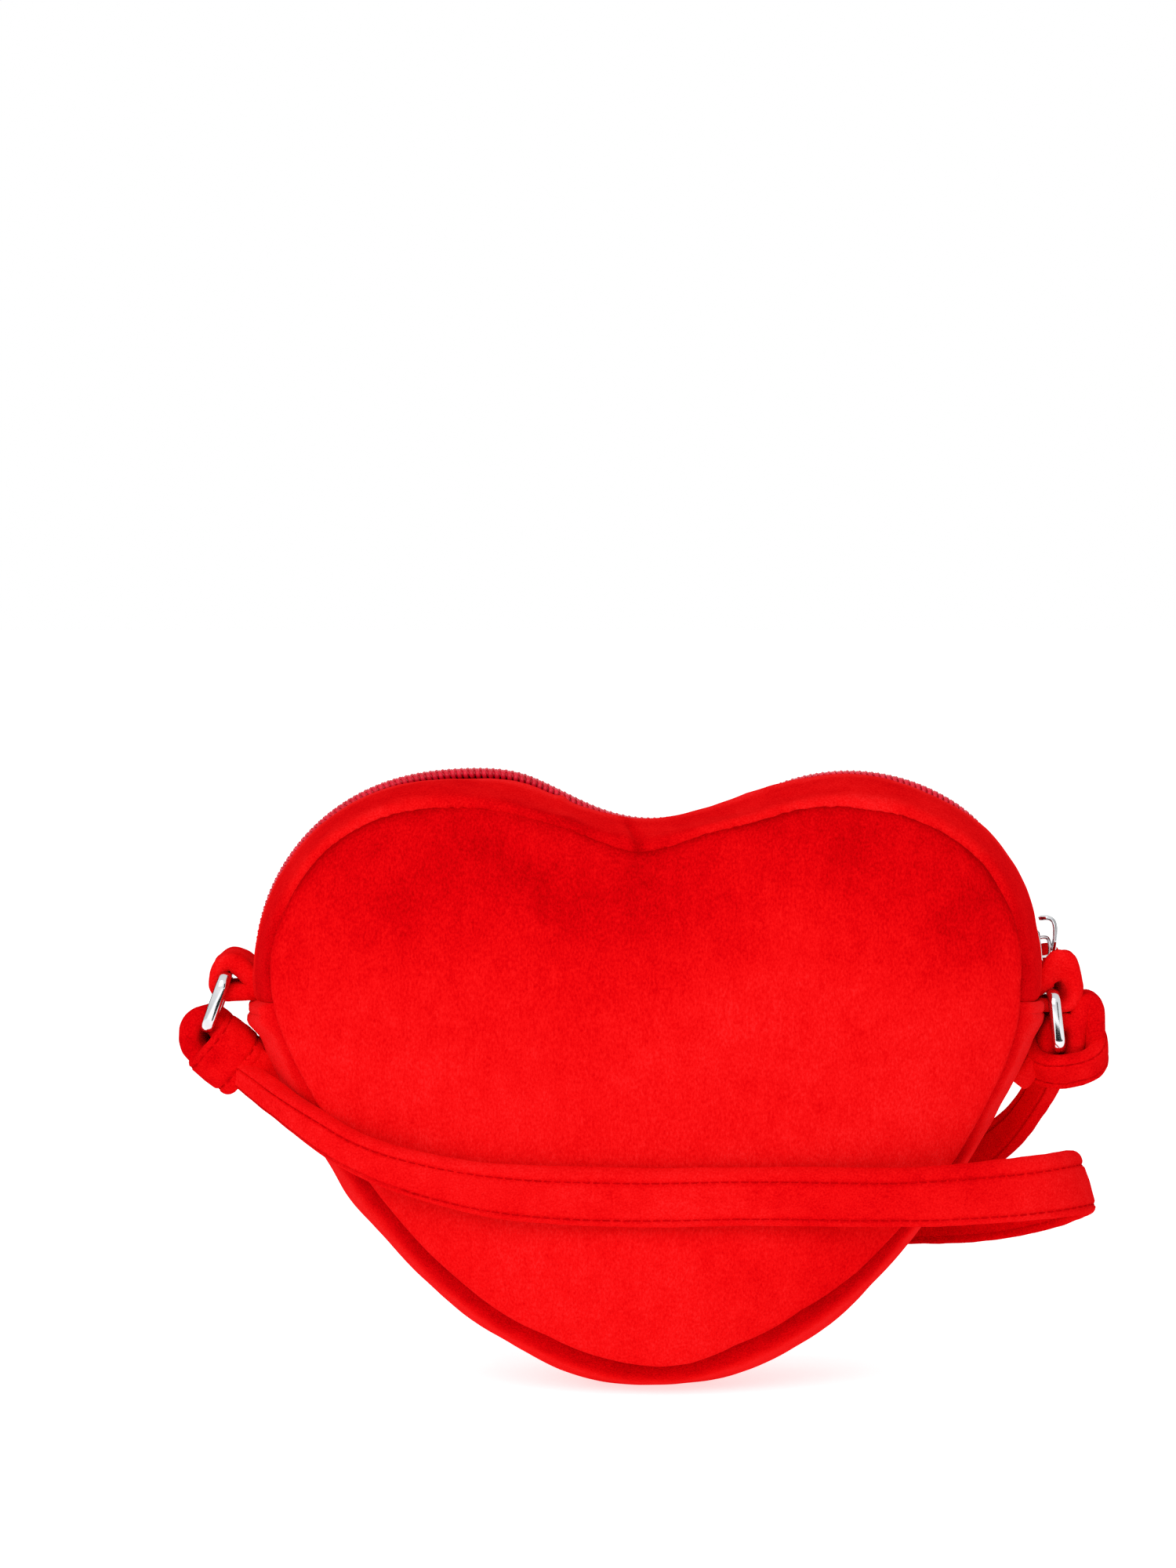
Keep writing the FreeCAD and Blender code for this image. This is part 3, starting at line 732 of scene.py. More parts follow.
def new_panel(name, side, depth, grain, material, slot):
    """A crowned heart, some depth under the velvet; side is -1 for the front, 1 for the back."""
    flat, faces = panel_net(grain, depth)
    inset, seam, rays = panel_depth(flat)
    rim = seam + depth
    share = np.clip((inset - rim) / (CROWN_EDGE - rim), 0, 1)
    rise = (CROWN_HEIGHT + SEAM_TUCK - depth) * np.sqrt(2 * share - share ** 2)
    puff = EDGE_PUFF * np.sin(math.pi * np.clip(rise / PUFF_HEIGHT, 0, 1)) * (1 - fold_share(*flat.T))
    flat = flat + rays * puff[:, None]
    height = SEAM_Y + rise
    points = np.stack([flat[:, 0], side * height, flat[:, 1]], axis=1)
    height = height + swells(points, PANEL_SWELLS)
    if side < 0:
        height = height - dent_depths(flat)
    points[:, 1] = side * height
    return new_piece(name, points, faces, material, slot)


# How far up the bright pile of the panels reaches, from the left side to the right
BRUSH = ([-80, -40, -15, 5, 30, 50, 66, 80], [3, 3, -4, 0, 14, 9, 1, 0])


def panel_pile_and_shade(points, dented):
    """A panel's tone: pile dark over the top, painted shade low on the right below the strap, along the seam
    under the strip's fold and in the front panel's dents, bright between.
    """
    x, _, z = points.T
    flat = points[:, [0, 2]]
    inset, seam, _ = panel_depth(flat)
    brushed = 1 - smooth(70, 112, z - np.interp(x, *BRUSH))
    # Painted shade low on the right, below the strap
    shade_under_strap = smooth(12, 38, x) * (1 - smooth(36, 50, z))
    # Painted shadow of the strip's fold along the seam over the lobes, weaker near x = -30
    shown = 1 - hump(x, 0.85, -30, 14)
    crease = fold_share(x, z) * shown * np.exp(-np.clip(inset - seam, 0, None) / 0.7)
    pile_and_light = PANEL_NAP + 0.33 * brushed - 0.17 * shade_under_strap - 0.5 * crease
    # Painted shade in the front panel's dents
    if dented:
        pile_and_light = pile_and_light - 0.11 * dent_depths(flat)
    return pile_and_light


front_panel = new_panel("front_panel", -1, 0, PANEL_GRAIN, PANEL_VELVET, "velvet")
back_panel = new_panel("back_panel_velvet", 1, 0, PANEL_GRAIN, PANEL_VELVET, "velvet")
for panel in (front_panel, back_panel):
    thicken(panel, PADDING)
    store_pile_and_light(panel, panel_pile_and_shade(corners_of(panel), panel == front_panel))
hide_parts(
    "front_panel_upper", "front_panel_lower", "front_wadding_upper", "front_wadding_lower"
)
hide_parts("back_panel", "back_wadding")

front_lining = new_panel("front_lining", -1, LINING_DEPTH, LINING_GRAIN, LINING_CLOTH, "lining")
back_lining_sheet = new_panel("back_lining_sheet", 1, LINING_DEPTH, LINING_GRAIN, LINING_CLOTH, "lining")
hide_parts("front_lining_upper", "front_lining_lower")
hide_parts("back_lining")
rim = rim_line(LINING_DEPTH) * MM
for sheet, panel in ((front_lining, front_panel), (back_lining_sheet, back_panel)):
    thicken(sheet, LINING)


# Gussets and zip strips


def new_velvet(name, rings, pile_and_light, slot, closed=False):
    """A velvet band over rings of points; the given function works out its pile tone with painted light and
    shade.
    """
    piece = new_piece(name, *loft(rings, closed), BAND_VELVET, slot)
    store_pile_and_light(piece, pile_and_light(corners_of(piece)))
    return piece


# Distances from a band's end at which its points lie closer together
END_STEPS = np.array([0, 0.25, 0.6, 1.0, 1.5, 2.0, 2.25, 2.5, 2.75, 3.1])


def edge_runs(start, end, count):
    """Lengths along a band, closer at its two ends."""
    middle = np.linspace(start + 4, end - 4, count)
    return np.concatenate([start + END_STEPS, middle, end - END_STEPS[::-1]])[:, None]


def two_faces(y_from, y_to, count):
    """Depths across a band and back on its inner face, and 0 or 1 for the face."""
    half = np.linspace(y_from, y_to, count)
    return np.concatenate([half, half[::-1]])[None], np.repeat([0, 1], count)[None]


def follow_seam(run, y):
    """How far cloth goes with the panel seam beside it."""
    return seam_shift(run) * np.exp(-(SEAM_Y - np.abs(y)) / SEAM_FOLLOW)


def low_tuck(run, y):
    """How far the gusset is drawn in near the point and low on the left."""
    x, z = on_line(run)[:2]
    tuck = FOOT_TUCK * (1 - smooth(6, 30, z)) * np.sin(math.pi * y / SEAM_Y) ** 2
    pull = hump(x, *LEFT_PULL) - hump(x, *LEFT_BUMP)
    return tuck + pull * (z < SHIFT_MIDDLE[1]) * np.cos(math.pi / 2 * y / SEAM_Y)


def gusset_pile_and_light(points):
    """The gusset's tone: bright along its middle and lifted as painted fill light, with painted shade in the
    creases at the panel seams, wider low down.
    """
    away = np.abs(points[:, 1])
    low = 1 - smooth(50, 64, points[:, 2])
    # Painted shade in the creases at the panel seams, reaching further in near the point
    high_seam_shade = 0.44 * (1 - low) * smooth(15.5, 19.2, away)
    low_seam_shade = 0.8 * low * smooth(11.5, 19.6, away)
    return GUSSET_PILE_AND_FILL_LIGHT - high_seam_shade - low_seam_shade


def new_bottom_gusset():
    """Velvet round the heart's point, lapped over the strips and flat at the foot."""
    start = ZIP_LENGTH - LAP
    end = LINE_LENGTH + LAP
    run = edge_runs(start, end, 280)
    y, inner = two_faces(-SEAM_Y, SEAM_Y, 55)
    edge = np.minimum(run - start, end - run)
    thickness = LAP_THICKNESS + (VELVET - LAP_THICKNESS) * smooth(LAP, LAP + 1.5, edge)
    dip = SEAM_DIP * np.exp(-(SEAM_Y - np.abs(y)) / DIP_REACH)
    on_left = run < (start + end) / 2
    lap = np.where(on_left, LEFT_LAP, RIGHT_LAP) * smooth(-0.2, 0.8, edge) * (1 - smooth(3, 9, edge))
    lap = lap * (1 - smooth(16.5, 19.0, np.abs(y)))
    groove = hump(edge, LAP_GROOVE, LAP_STITCH, 0.3)
    fade = 1 - np.where(on_left, smooth(*LEFT_FADE, edge), smooth(*RIGHT_FADE, edge))
    puff = np.where(on_left, LEFT_PUFF, RIGHT_PUFF) * smooth(1.0, 5, edge) * fade
    out = bulge(y, inner * thickness) - dip + follow_seam(run, y)
    out = out + lap - groove + puff * np.cos(math.pi / 2 * y / SEAM_Y) - low_tuck(run, y)
    out = out + swells(beside_line(run, y, out), GUSSET_SWELLS)
    rings = beside_line(run, y, out)
    z = rings[..., 2]
    lowest = (-FOOT_DEPTH + math.hypot(FOOT_DEPTH, 2 * FOOT_ROUND)) / 2
    rings[..., 2] = np.maximum((z + np.hypot(z, 2 * FOOT_ROUND)) / 2 - lowest, 0)
    return new_velvet("bottom_gusset_velvet", rings, gusset_pile_and_light, "velvet")


# How far the zip edge of the front strip stands up or sinks, along the zip from right to left
EDGE_PLACES = [0.0, 0.08, 0.13, 0.18, 0.24, 0.35, 0.41, 0.49, 0.53, 0.58, 0.66, 0.72, 0.79, 0.9, 1.0]
EDGE_LIFTS = [-0.5, -0.6, 0.0, 0.4, -0.35, 0.3, 1.5, 0.9, 0.4, -0.8, -1.5, -0.9, -0.3, -0.2, 0.6]
BACK_LIFT = -0.3

# Painted highlight (above 0) and painted shade (below 0) on the strips' fold over the panel, from the left
# side to the right
FOLD_HIGHLIGHT_AND_SHADE = ([-70, -54, -36, -18, 5, 32, 46, 58], [0.1, 0.19, -0.17, -0.3, -0.11, 0.2, 0.2, 0.04])


def zip_sag(run, y):
    """How far the zip sinks in the cleft; it stands higher on the left slope."""
    x, z = on_line(run)[:2]
    sink = hump(x, *CLEFT_SAG) - hump(x, *SLOPE_RISE)
    share = np.clip((SEAM_Y - np.abs(y)) / STRIP_REACH, 0, 1)
    return sink * (z > LOBE_HEIGHT) * share ** 2


def tape_sag(run, y):
    """How far tapes and coils sink, also where the slider is parked."""
    return zip_sag(run, y) + END_SAG * (1 - smooth(*END_REACH, run))


def strip_pile_and_light(points):
    """The strips' tone: painted highlight along the zip hem and on parts of the fold, painted shade on other
    parts of the fold, at the seam where the strip does not fold over and in the crease under the cleft.
    """
    x, y, z = points.T
    folded = fold_share(x, z)
    # Painted highlight and painted shade along the fold edge at the seam; painted shade there where the
    # strip does not fold over
    fold = smooth(15.2, 19.5, np.abs(y) + 0.6 * ripple(points, 3.0, 4.0)) ** 2
    lift = folded * np.interp(x, *FOLD_HIGHLIGHT_AND_SHADE) - 0.2 * (1 - folded)
    share = (SEAM_Y - np.abs(y)) / STRIP_REACH
    # Painted shade in the crease under the cleft
    crease = hump(x + CREASE_LEAN * share, 0.25, NOTCH_X, 1.3) * (z > LOBE_HEIGHT)
    # Painted highlight along the hem at the zip
    hem_highlight = smooth(0.7, 0.95, share)
    patch = ripple(points, 9.0, 2.0)
    return STRIP_NAP + 0.16 * folded + fold * lift + 0.35 * hem_highlight - crease + 0.12 * patch


def new_zip_strip(name, side):
    """Velvet beside the zip, folded under there and over the panel along the lobes."""
    start = STRIP_END
    end = ZIP_LENGTH - STRIP_END
    run = edge_runs(start, end, 640)
    outer = np.concatenate([np.linspace(0, 0.25, 10), np.linspace(0.3, 1, 15)])
    under = outer[::-2]
    turns = np.linspace(0, math.pi, 8)[1:-1]
    radius = VELVET / 2
    flat = np.zeros(len(outer))
    share = np.concatenate([outer, np.ones(len(turns)), under])[None]
    nose = np.concatenate([flat, radius * np.sin(turns), 0 * under])[None]
    depth = np.concatenate([flat, radius * (1 - np.cos(turns)), np.full(len(under), VELVET)])[None]
    from_seam = share * STRIP_REACH
    y = SEAM_Y - from_seam - nose
    x, z = on_line(run)[:2]
    folded = fold_share(x, z)
    dip = SEAM_DIP * np.exp(-from_seam / (DIP_REACH - 1.1 * folded))
    lift = np.interp(run / ZIP_LENGTH, EDGE_PLACES, EDGE_LIFTS) if side < 0 else BACK_LIFT
    crease = hump(x + CREASE_LEAN * share, CREASE_DEPTH, NOTCH_X, 1.0) * (1 - smooth(0.4, 0.8, share))
    pleat = hump(x - PLEAT_LEAN * share, PLEAT_RISE, PLEAT_X, 1.1) * smooth(0.3, 1.0, share) * (side < 0)
    edge = np.minimum(run - start, end - run)
    out = bulge(y, depth) - dip + lift * share ** 2 + follow_seam(run, y) - zip_sag(run, y)
    out = out - crease + pleat - (1 - smooth(0.5, 3.5, edge))
    places = beside_line(run, side * y, out)
    out = out + swells(places, STRIP_SWELLS)
    fringe = swells(places, FRINGE) * np.exp(-from_seam / FRINGE_REACH)
    over = folded * (hump(from_seam, FOLD_OVER, 0.5, 1.7) + fringe)
    return new_velvet(name, beside_line(run, side * (y + over), out), strip_pile_and_light, "velvet")


def thin_band(name, ends, sides, top, thickness, material, slot):
    """A thin layer under the gusset or the strips."""
    run = np.linspace(*ends, math.ceil((ends[1] - ends[0]) / 1.5))[:, None]
    y, inner = two_faces(*sides, 9)
    if material == TAPE_CLOTH:
        sag = tape_sag(run, y)
    else:
        sag = zip_sag(run, y) + low_tuck(run, y) - follow_seam(run, y)
    out = bulge(y, top + thickness * inner) - sag
    return new_piece(name, *loft(beside_line(run, y, out)), material, slot)


LINING_LAYER = (LINING_TOP, LINING, LINING_CLOTH, "lining")
TAPE_LAYER = (TAPE_TOP, TAPE_THICKNESS, TAPE_CLOTH, "zip_tape")
bottom_gusset = new_bottom_gusset()
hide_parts("bottom_gusset")
front_strip = new_zip_strip("front_strip", -1)
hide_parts("front_zip_strip")
back_strip = new_zip_strip("back_strip", 1)
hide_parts("back_zip_strip")
gusset_lining = thin_band(
    "gusset_lining_sheet", (ZIP_LENGTH, LINE_LENGTH), (-LINING_Y, LINING_Y), *LINING_LAYER
)
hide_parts("gusset_lining")
front_facing = thin_band("front_facing", ZIP_ENDS, (-LINING_Y, -FACING_Y), *LINING_LAYER)
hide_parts("front_zip_facing")
back_facing = thin_band("back_facing", ZIP_ENDS, (FACING_Y, LINING_Y), *LINING_LAYER)
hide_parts("back_zip_facing")
front_tape = thin_band("front_tape", ZIP_ENDS, (-TAPE_OUT, -TAPE_IN), *TAPE_LAYER)
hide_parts("front_zip_tape")
back_tape = thin_band("back_tape", ZIP_ENDS, (TAPE_IN, TAPE_OUT), *TAPE_LAYER)
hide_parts("back_zip_tape")


def new_coil(name, side, phase):
    """Half of the zip: nylon wire wound round a cord."""
    turns = math.floor((ZIP_LENGTH - COIL_START - 0.4) / COIL_PITCH)
    angle = np.linspace(0, 2 * math.pi * turns, 12 * turns + 1)
    run = COIL_START + (angle / (2 * math.pi) + phase) * COIL_PITCH
    _, _, ray_x, ray_z = on_line(run)
    head = -np.cos(angle)
    lift = np.sin(angle)
    y = side * (COIL_HALF - COIL_MESH - COIL_HALF * head)
    path = beside_line(run, y, COIL_RISE * lift - COIL_MIDDLE - tape_sag(run, y))
    radial = np.stack([lift * ray_x, -side * head, lift * ray_z], axis=1)
    thick = COIL_WIRE * (1 + COIL_HEAD * np.clip(head, 0, 1) ** 4)
    wire = loft(sweep(path, radial, bar_section(6, 1, 1), thick, thick))
    cord_run = np.linspace(run[0], run[-1], 3 * turns)[:, None]
    aside, out = COIL_CORD * bar_section(6, 1, 1).T[:, None]
    cord_y = side * (COIL_HALF - COIL_MESH) + aside
    cord = loft(beside_line(cord_run, cord_y, out - COIL_MIDDLE - tape_sag(cord_run, cord_y)))
    return new_piece(name, *joined([wire, cord]), COIL_NYLON, "zip_coil")


front_coil = new_coil("front_coil", -1, 0.0)
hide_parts("front_zip_coil")
back_coil = new_coil("back_coil", 1, 0.5)
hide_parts("back_zip_coil")


# Strap

FRONT_ROUTE = [
    (-89.5, -3.5, 69.0), (-85.0, -8.6, 66.6), (-75.2, -20.4, 60.6), (-59.0, -29.4, 51.4),
    (-34.0, -30.0, 45.6), (-6.0, -29.5, 44.2), (22.0, -29.8, 45.1), (50.0, -30.0, 44.3),
    (73.0, -28.0, 45.3), (86.2, -23.5, 46.2), (93.2, -13.5, 45.7), (93.4, -6.0, 44.4),
]
BACK_ROUTE = [
    (93.4, -6.0, 44.4), (93.6, 1.5, 43.0), (87.5, 11.5, 38.5), (71.0, 20.5, 34.0), (48.0, 29.6, 32.0),
    (17.0, 31.9, 30.4), (-12.0, 31.4, 30.6), (-32.0, 33.4, 32.2), (-44.5, 39.2, 34.0),
    (-49.0, 49.5, 36.2), (-42.5, 58.5, 38.2), (-30.0, 59.0, 40.0), (-12.0, 52.5, 42.0),
    (11.0, 42.5, 44.0), (35.0, 35.0, 44.6), (57.0, 31.0, 43.6), (72.5, 25.0, 46.0),
    (80.0, 16.5, 52.8), (84.6, 9.5, 60.6), (87.4, 4.0, 67.0), (88.4, 1.0, 71.0),
]
UPRIGHT = np.array([0.0, 0.0, 1.0])
ACROSS = np.array([0.0, 1.0, 0.0])
FOLD_LEAN = np.array([-0.32, 0.0, 0.0])

# Breadth and bulk of the strap, by the length from its knot
BREADTHS = ([0, 8, 20, 31, 53, 74, 90], [0.46, 0.5, 0.56, 0.64, 0.78, 0.95, 1.0])
BULKS = ([0, 12, 60], [1.5, 1.45, 1.0])


def strap_frame(path, at_end):
    """Width direction, breadth and bulk along a run of the strap."""
    run = run_lengths(path)
    from_knot = run[-1] - run if at_end else run
    wide = unit(UPRIGHT + FOLD_LEAN * smooth(80, 94, path[:, :1]))
    breadth = np.interp(from_knot, *BREADTHS) * (1 + TURN_SPREAD * smooth(45, 85, path[:, 0]))
    return wide, breadth, np.interp(from_knot, *BULKS)


def strap_pile_and_shade(points):
    """The strap's tone: darker to the right, with painted shade on the run behind the heart."""
    x, y, _ = points.T
    pile_and_light = STRAP_NAP - 0.17 * smooth(12, 50, x) + 0.16 * smooth(66, 84, x)
    # Painted shade on the run behind the heart, and pile tone that differs at random
    return pile_and_light - 0.3 * smooth(-4, 14, y) + 0.14 * ripple(points, 16.0, 6.0)


def new_strap(name, points, at_end):
    """A run of the strap and its path."""
    path = spline_line(points)
    section = strap_section(ROWS)
    wide, breadth, bulk = strap_frame(path, at_end)
    rings = sweep(path, wide, section, breadth, bulk)
    rings = rings + swells(rings, STRAP_SWELLS)[..., None] * unit(rings - path[:, None])
    # Painted shade along the grooves under the stitch rows
    groove = np.tile(sum(hump(section[:, 0], 0.12, row, 0.6) for row in ROWS), len(path))
    piece = new_velvet(name, rings, lambda points: strap_pile_and_shade(points) - groove, "strap_velvet")
    return piece, path


def one_stitch(centre, ahead, aside, out):
    """A short stitch along a direction."""
    circle = bar_section(6, STITCH_RADIUS, STITCH_RADIUS) @ np.array([aside, out])
    rings = []
    for along, thick in ((-0.5, 0.45), (-0.3, 1.0), (0.3, 1.0), (0.5, 0.45)):
        rings.append(centre + ahead * along * STITCH_LENGTH + thick * circle)
    return loft(rings)


def stitch_rows(path, frame_of_path, places, rows):
    """Stitches on both faces of a band, at lengths along its path."""
    wide, breadth, bulk = frame_of_path
    run = run_lengths(path)

    def along(columns):
        return np.stack([np.interp(places, run, column) for column in columns.T], axis=1)

    aheads, ups, outs = (unit(along(directions)) for directions in path_frame(path, wide))
    scales = np.interp(places, run, np.broadcast_to(breadth, len(path)))
    lifts = np.interp(places, run, np.broadcast_to(bulk, len(path))) * STRAP_THICKNESS / 2 - STITCH_SINK
    parts = []
    for middle, ahead, up, out, scale, lift in zip(along(path), aheads, ups, outs, scales, lifts):
        for row in rows:
            for face in (-1, 1):
                parts.append(one_stitch(middle + up * row * scale + out * face * lift, ahead, up, out))
    return parts


def new_stitches(name, path, at_end):
    """Topstitching of a run; near the knot its lower row is rolled under."""
    length = run_lengths(path)[-1]
    parts = []
    for first, row in zip(ROW_STARTS, ROWS):
        places = np.arange(first, length - 2, STITCH_PITCH)
        places = length - places if at_end else places
        parts.extend(stitch_rows(path, strap_frame(path, at_end), places, (row,)))
    return new_piece(name, *joined(parts), THREAD, "strap_velvet")


strap_front, front_path = new_strap("strap_front", FRONT_ROUTE, False)
strap_back, back_path = new_strap("strap_back", BACK_ROUTE, True)
front_stitches = new_stitches("strap_front_stitches", front_path, False)
back_stitches = new_stitches("strap_back_stitches", back_path, True)
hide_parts("strap_front_run")
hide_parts("strap_back_run")

# A row of stitches across each end of the bottom gusset
parts = []
for run, lift in (
    (ZIP_LENGTH - LAP + LAP_STITCH, LEFT_LAP - 0.3),
    (LINE_LENGTH + LAP - LAP_STITCH, RIGHT_LAP - 0.4),
):
    _, _, ray_x, ray_z = on_line(run)
    out = np.array([ray_x, 0.0, ray_z])
    for y in np.arange(-15.4, 16, STITCH_PITCH):
        centre = beside_line(run, y, bulge(y) + lift)
        parts.append(one_stitch(centre, ACROSS, np.cross(ACROSS, out), out))
lap_stitches = new_piece("lap_stitches", *joined(parts), THREAD, "velvet")


# Knots and tabs


def flat_path(points, y=0.0):
    """Smooth line from control points in X and Z."""
    return spline_line([(x, y, z) for x, z in points])


def soft_band(name, path, wide, breadth, bulk, pile_and_light, rows=(), closed=False):
    """A length of folded strap along a path."""
    rings = sweep(path, wide, strap_section(rows), breadth, bulk, closed)
    middle = rings.mean(axis=1, keepdims=True)
    rings = rings + swells(rings, KNOT_SWELLS)[..., None] * unit(rings - middle)
    uneven = ((0.2, 4.0, 9.0),)
    return new_velvet(name, rings, lambda points: pile_and_light + swells(points, uneven), "strap_velvet", closed)


def along_path(path, places, values):
    """Values by the share of a path's length."""
    run = run_lengths(path)
    return np.interp(run / run[-1], places, values)


def new_band(name, points, wide, breadths, bulks, pile_and_light, y=0.0):
    """A length of strap through places in X and Z; breadths and bulks go by the share of its length."""
    path = flat_path(points, y)
    scales = [along_path(path, *values) for values in (breadths, bulks)]
    return soft_band(name, path, unit(np.array(wide)), *scales, pile_and_light)


def new_cuff(name, centre, axis, half_across, half_deep, tilt, breadth):
    """The turn that ties a knot, lower in front, and its stitches."""
    axis = unit(np.array([axis[0], 0.0, axis[1]]))
    side = np.array([-axis[2], 0.0, axis[0]])
    turns = np.linspace(0, 2 * math.pi, 65)
    across = half_across * squared(np.cos(turns), 0.75)
    deep = half_deep * squared(np.sin(turns), 0.75)
    along = -tilt * deep / half_deep
    path = np.array([centre[0], 0.0, centre[1]]) + np.outer(along, axis) + np.outer(across, side)
    path = path + np.outer(deep, ACROSS)
    wide = unit(axis * half_deep + ACROSS * tilt)
    bulk = 1.15
    band = soft_band(name, path[:-1], wide, breadth, bulk, CUFF_NAP, ROWS, True)
    places = np.arange(1, run_lengths(path)[-1] - 1, STITCH_PITCH)
    parts = stitch_rows(path, (wide, breadth, bulk), places, ROWS)
    return [band, new_piece(name + "_stitches", *joined(parts), THREAD, "strap_velvet")]


# Breadths and bulks: shares of a band's length and the values there
TAB_BREADTH = ([0], [0.98])
LOOP_BREADTH = ([0, 0.25, 0.75, 1], [0.6, 0.94, 0.94, 0.6])
TAIL_SHARES = [0, 0.8, 0.95, 1]
TAIL_BREADTHS = np.array([1.0, 1.0, 0.93, 0.8])
TAIL_BULK = ([0, 0.85, 1], [1.0, 1.0, 0.7])
LEFT_TAB_BULK = ([0, 0.3, 0.47, 0.65, 1], [1.1, 1.1, 0.85, 1.35, 1.3])
RIGHT_TAB_BULK = ([0, 0.3, 0.5, 0.65, 1], [0.9, 0.85, 1.2, 1.2, 1.1])

# Courses of the tabs and of the knots' loops and tails, in X and Z
LEFT_TAB = [
    (-83.4, 86.0), (-88.0, 86.0), (-93.1, 85.7), (-93.8, 89.6),
    (-91.8, 92.4), (-89.0, 92.2), (-86.2, 89.6), (-83.4, 86.8),
]
RIGHT_TAB = [
    (83.0, 83.0), (86.6, 82.8), (90.2, 83.0), (91.2, 86.6),
    (89.8, 89.6), (86.6, 89.8), (84.6, 87.8), (83.0, 86.8),
]
LEFT_LOOP = [
    (-90.4, 69.0), (-95.0, 70.6), (-99.0, 73.8), (-98.8, 78.8),
    (-96.0, 80.6), (-93.0, 78.6), (-91.2, 74.6), (-89.4, 71.0),
]
RIGHT_LOOP = [
    (87.6, 68.0), (85.8, 72.0), (85.6, 76.6), (88.4, 79.6), (91.8, 78.2), (91.6, 72.6), (89.8, 68.0),
]
RIGHT_FOLD = [(92.2, 72.0), (92.6, 81.0), (95.6, 84.3), (97.0, 79.5), (96.0, 70.5)]
LEFT_TAIL = [(-87.6, 71.6), (-84.6, 70.0), (-82.0, 67.8), (-79.8, 65.8)]
RIGHT_TAIL = [(84.6, 71.4), (81.6, 68.6), (79.4, 65.9)]

left_tab = new_band("left_tab_velvet", LEFT_TAB, (0.08, 1.0, 0.06), TAB_BREADTH, LEFT_TAB_BULK, pile_and_light=0.66)
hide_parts("left_tab")
right_tab = new_band("right_tab_velvet", RIGHT_TAB, (-0.28, 1.0, 0.0), TAB_BREADTH, RIGHT_TAB_BULK, pile_and_light=0.62)
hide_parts("right_tab")

# The right tab's upper edges stand up beside the zip slider
points = corners_of(right_tab)
points[:, 2] += 4.4 * smooth(85.5, 91.0, points[:, 2]) * smooth(4.3, 5.9, np.abs(points[:, 1]))
right_tab.data.vertices.foreach_set("co", (points * MM).ravel())

left_loop = new_band("left_knot_loop", LEFT_LOOP, (0.2, 1.0, 0.0), LOOP_BREADTH, ([0], [1.35]), LOOP_NAP)
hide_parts("left_strap_knot")
left_cuff = new_cuff("left_knot_cuff", (-91.6, 71.8), (0.78, -0.626), 5.4, 6.2, tilt=0.6, breadth=0.94)
breadth = (TAIL_SHARES, 0.56 * TAIL_BREADTHS)
left_tail = new_band("left_knot_tail", LEFT_TAIL, (0.4, 0.5, 0.8), breadth, TAIL_BULK, TAIL_NAP, -5.2)
left_knot = [left_loop, *left_cuff, left_tail]

right_loop = new_band("right_knot_loop", RIGHT_LOOP, (-0.2, 1.0, 0.0), LOOP_BREADTH, ([0], [1.2]), LOOP_NAP)
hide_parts("right_strap_knot")
right_fold = new_band("right_knot_fold", RIGHT_FOLD, ACROSS, LOOP_BREADTH, ([0], [1.3]), LOOP_NAP)
right_cuff = new_cuff("right_knot_cuff", (90.2, 73.4), (0.16, -0.987), 7.4, 5.8, tilt=4.6, breadth=0.66)
breadth = (TAIL_SHARES, 0.42 * TAIL_BREADTHS)
right_tail = new_band("right_knot_tail", RIGHT_TAIL, (0.4, 0.6, -0.7), breadth, TAIL_BULK, TAIL_NAP, -4.2)
right_knot = [right_loop, right_fold, *right_cuff, right_tail]


# Rings, zip pull and slider


def new_ring(name, upper, lean):
    """Rectangular ring of rounded bar, hung by its upper side."""
    flat = []
    for y, drop, start in ((1, 0, 0), (-1, 0, 90), (-1, 1, 180), (1, 1, 270)):
        z = RING_CORNER - RING_PITCH if drop else -RING_CORNER
        spin = np.radians(start + np.linspace(0, 90, 7))
        centre = np.array([y * (RING_HALF - RING_CORNER), z])
        flat.extend(centre + RING_CORNER * np.stack([np.cos(spin), np.sin(spin)], axis=1))
    flat = np.array(flat)
    turn = math.radians(lean)
    down = np.array([math.sin(turn), 0.0, math.cos(turn)])
    path = np.array([upper[0], 0.0, upper[1]]) + flat[:, :1] * ACROSS + flat[:, 1:] * down
    section = bar_section(32, RING_FACE / 2, RING_WIRE / 2, 0.85, 0.85)
    rings = sweep(path, np.cross(ACROSS, down), section, closed=True)
    return new_piece(name, *loft(rings, True), METAL, "bright_metal")


def new_metal(name, points, faces):
    """A metal piece with slightly rounded edges."""
    piece = new_piece(name, points, faces, METAL, "bright_metal")
    piece.data.shade_flat()
    bevel = piece.modifiers.new("edges", "BEVEL")
    bevel.width = METAL_EDGE * MM
    bevel.segments = 2
    bevel.limit_method = "ANGLE"
    bevel.angle_limit = math.radians(20)
    applied(piece)
    piece.data.shade_smooth()
    return piece


def new_pull():
    """Small hooked plate that hangs on the slider's bail."""
    path = flat_path([(87.7, 94.3), (88.1, 97.4), (87.9, 101.0), (86.0, 101.8), (84.5, 101.3)])
    section = bar_section(16, PULL_HALF, PULL_THICK, 0.3, 0.6)
    breadth = along_path(path, [0, 0.08, 0.2, 0.85, 0.96, 1], [0.6, 0.8, 1.0, 0.85, 0.66, 0.4])
    bulk = along_path(path, [0, 0.06, 0.94, 1], [0.6, 1.0, 1.0, 0.6])
    return new_metal("zip_pull_metal", *loft(sweep(path, ACROSS, section, breadth, bulk)))


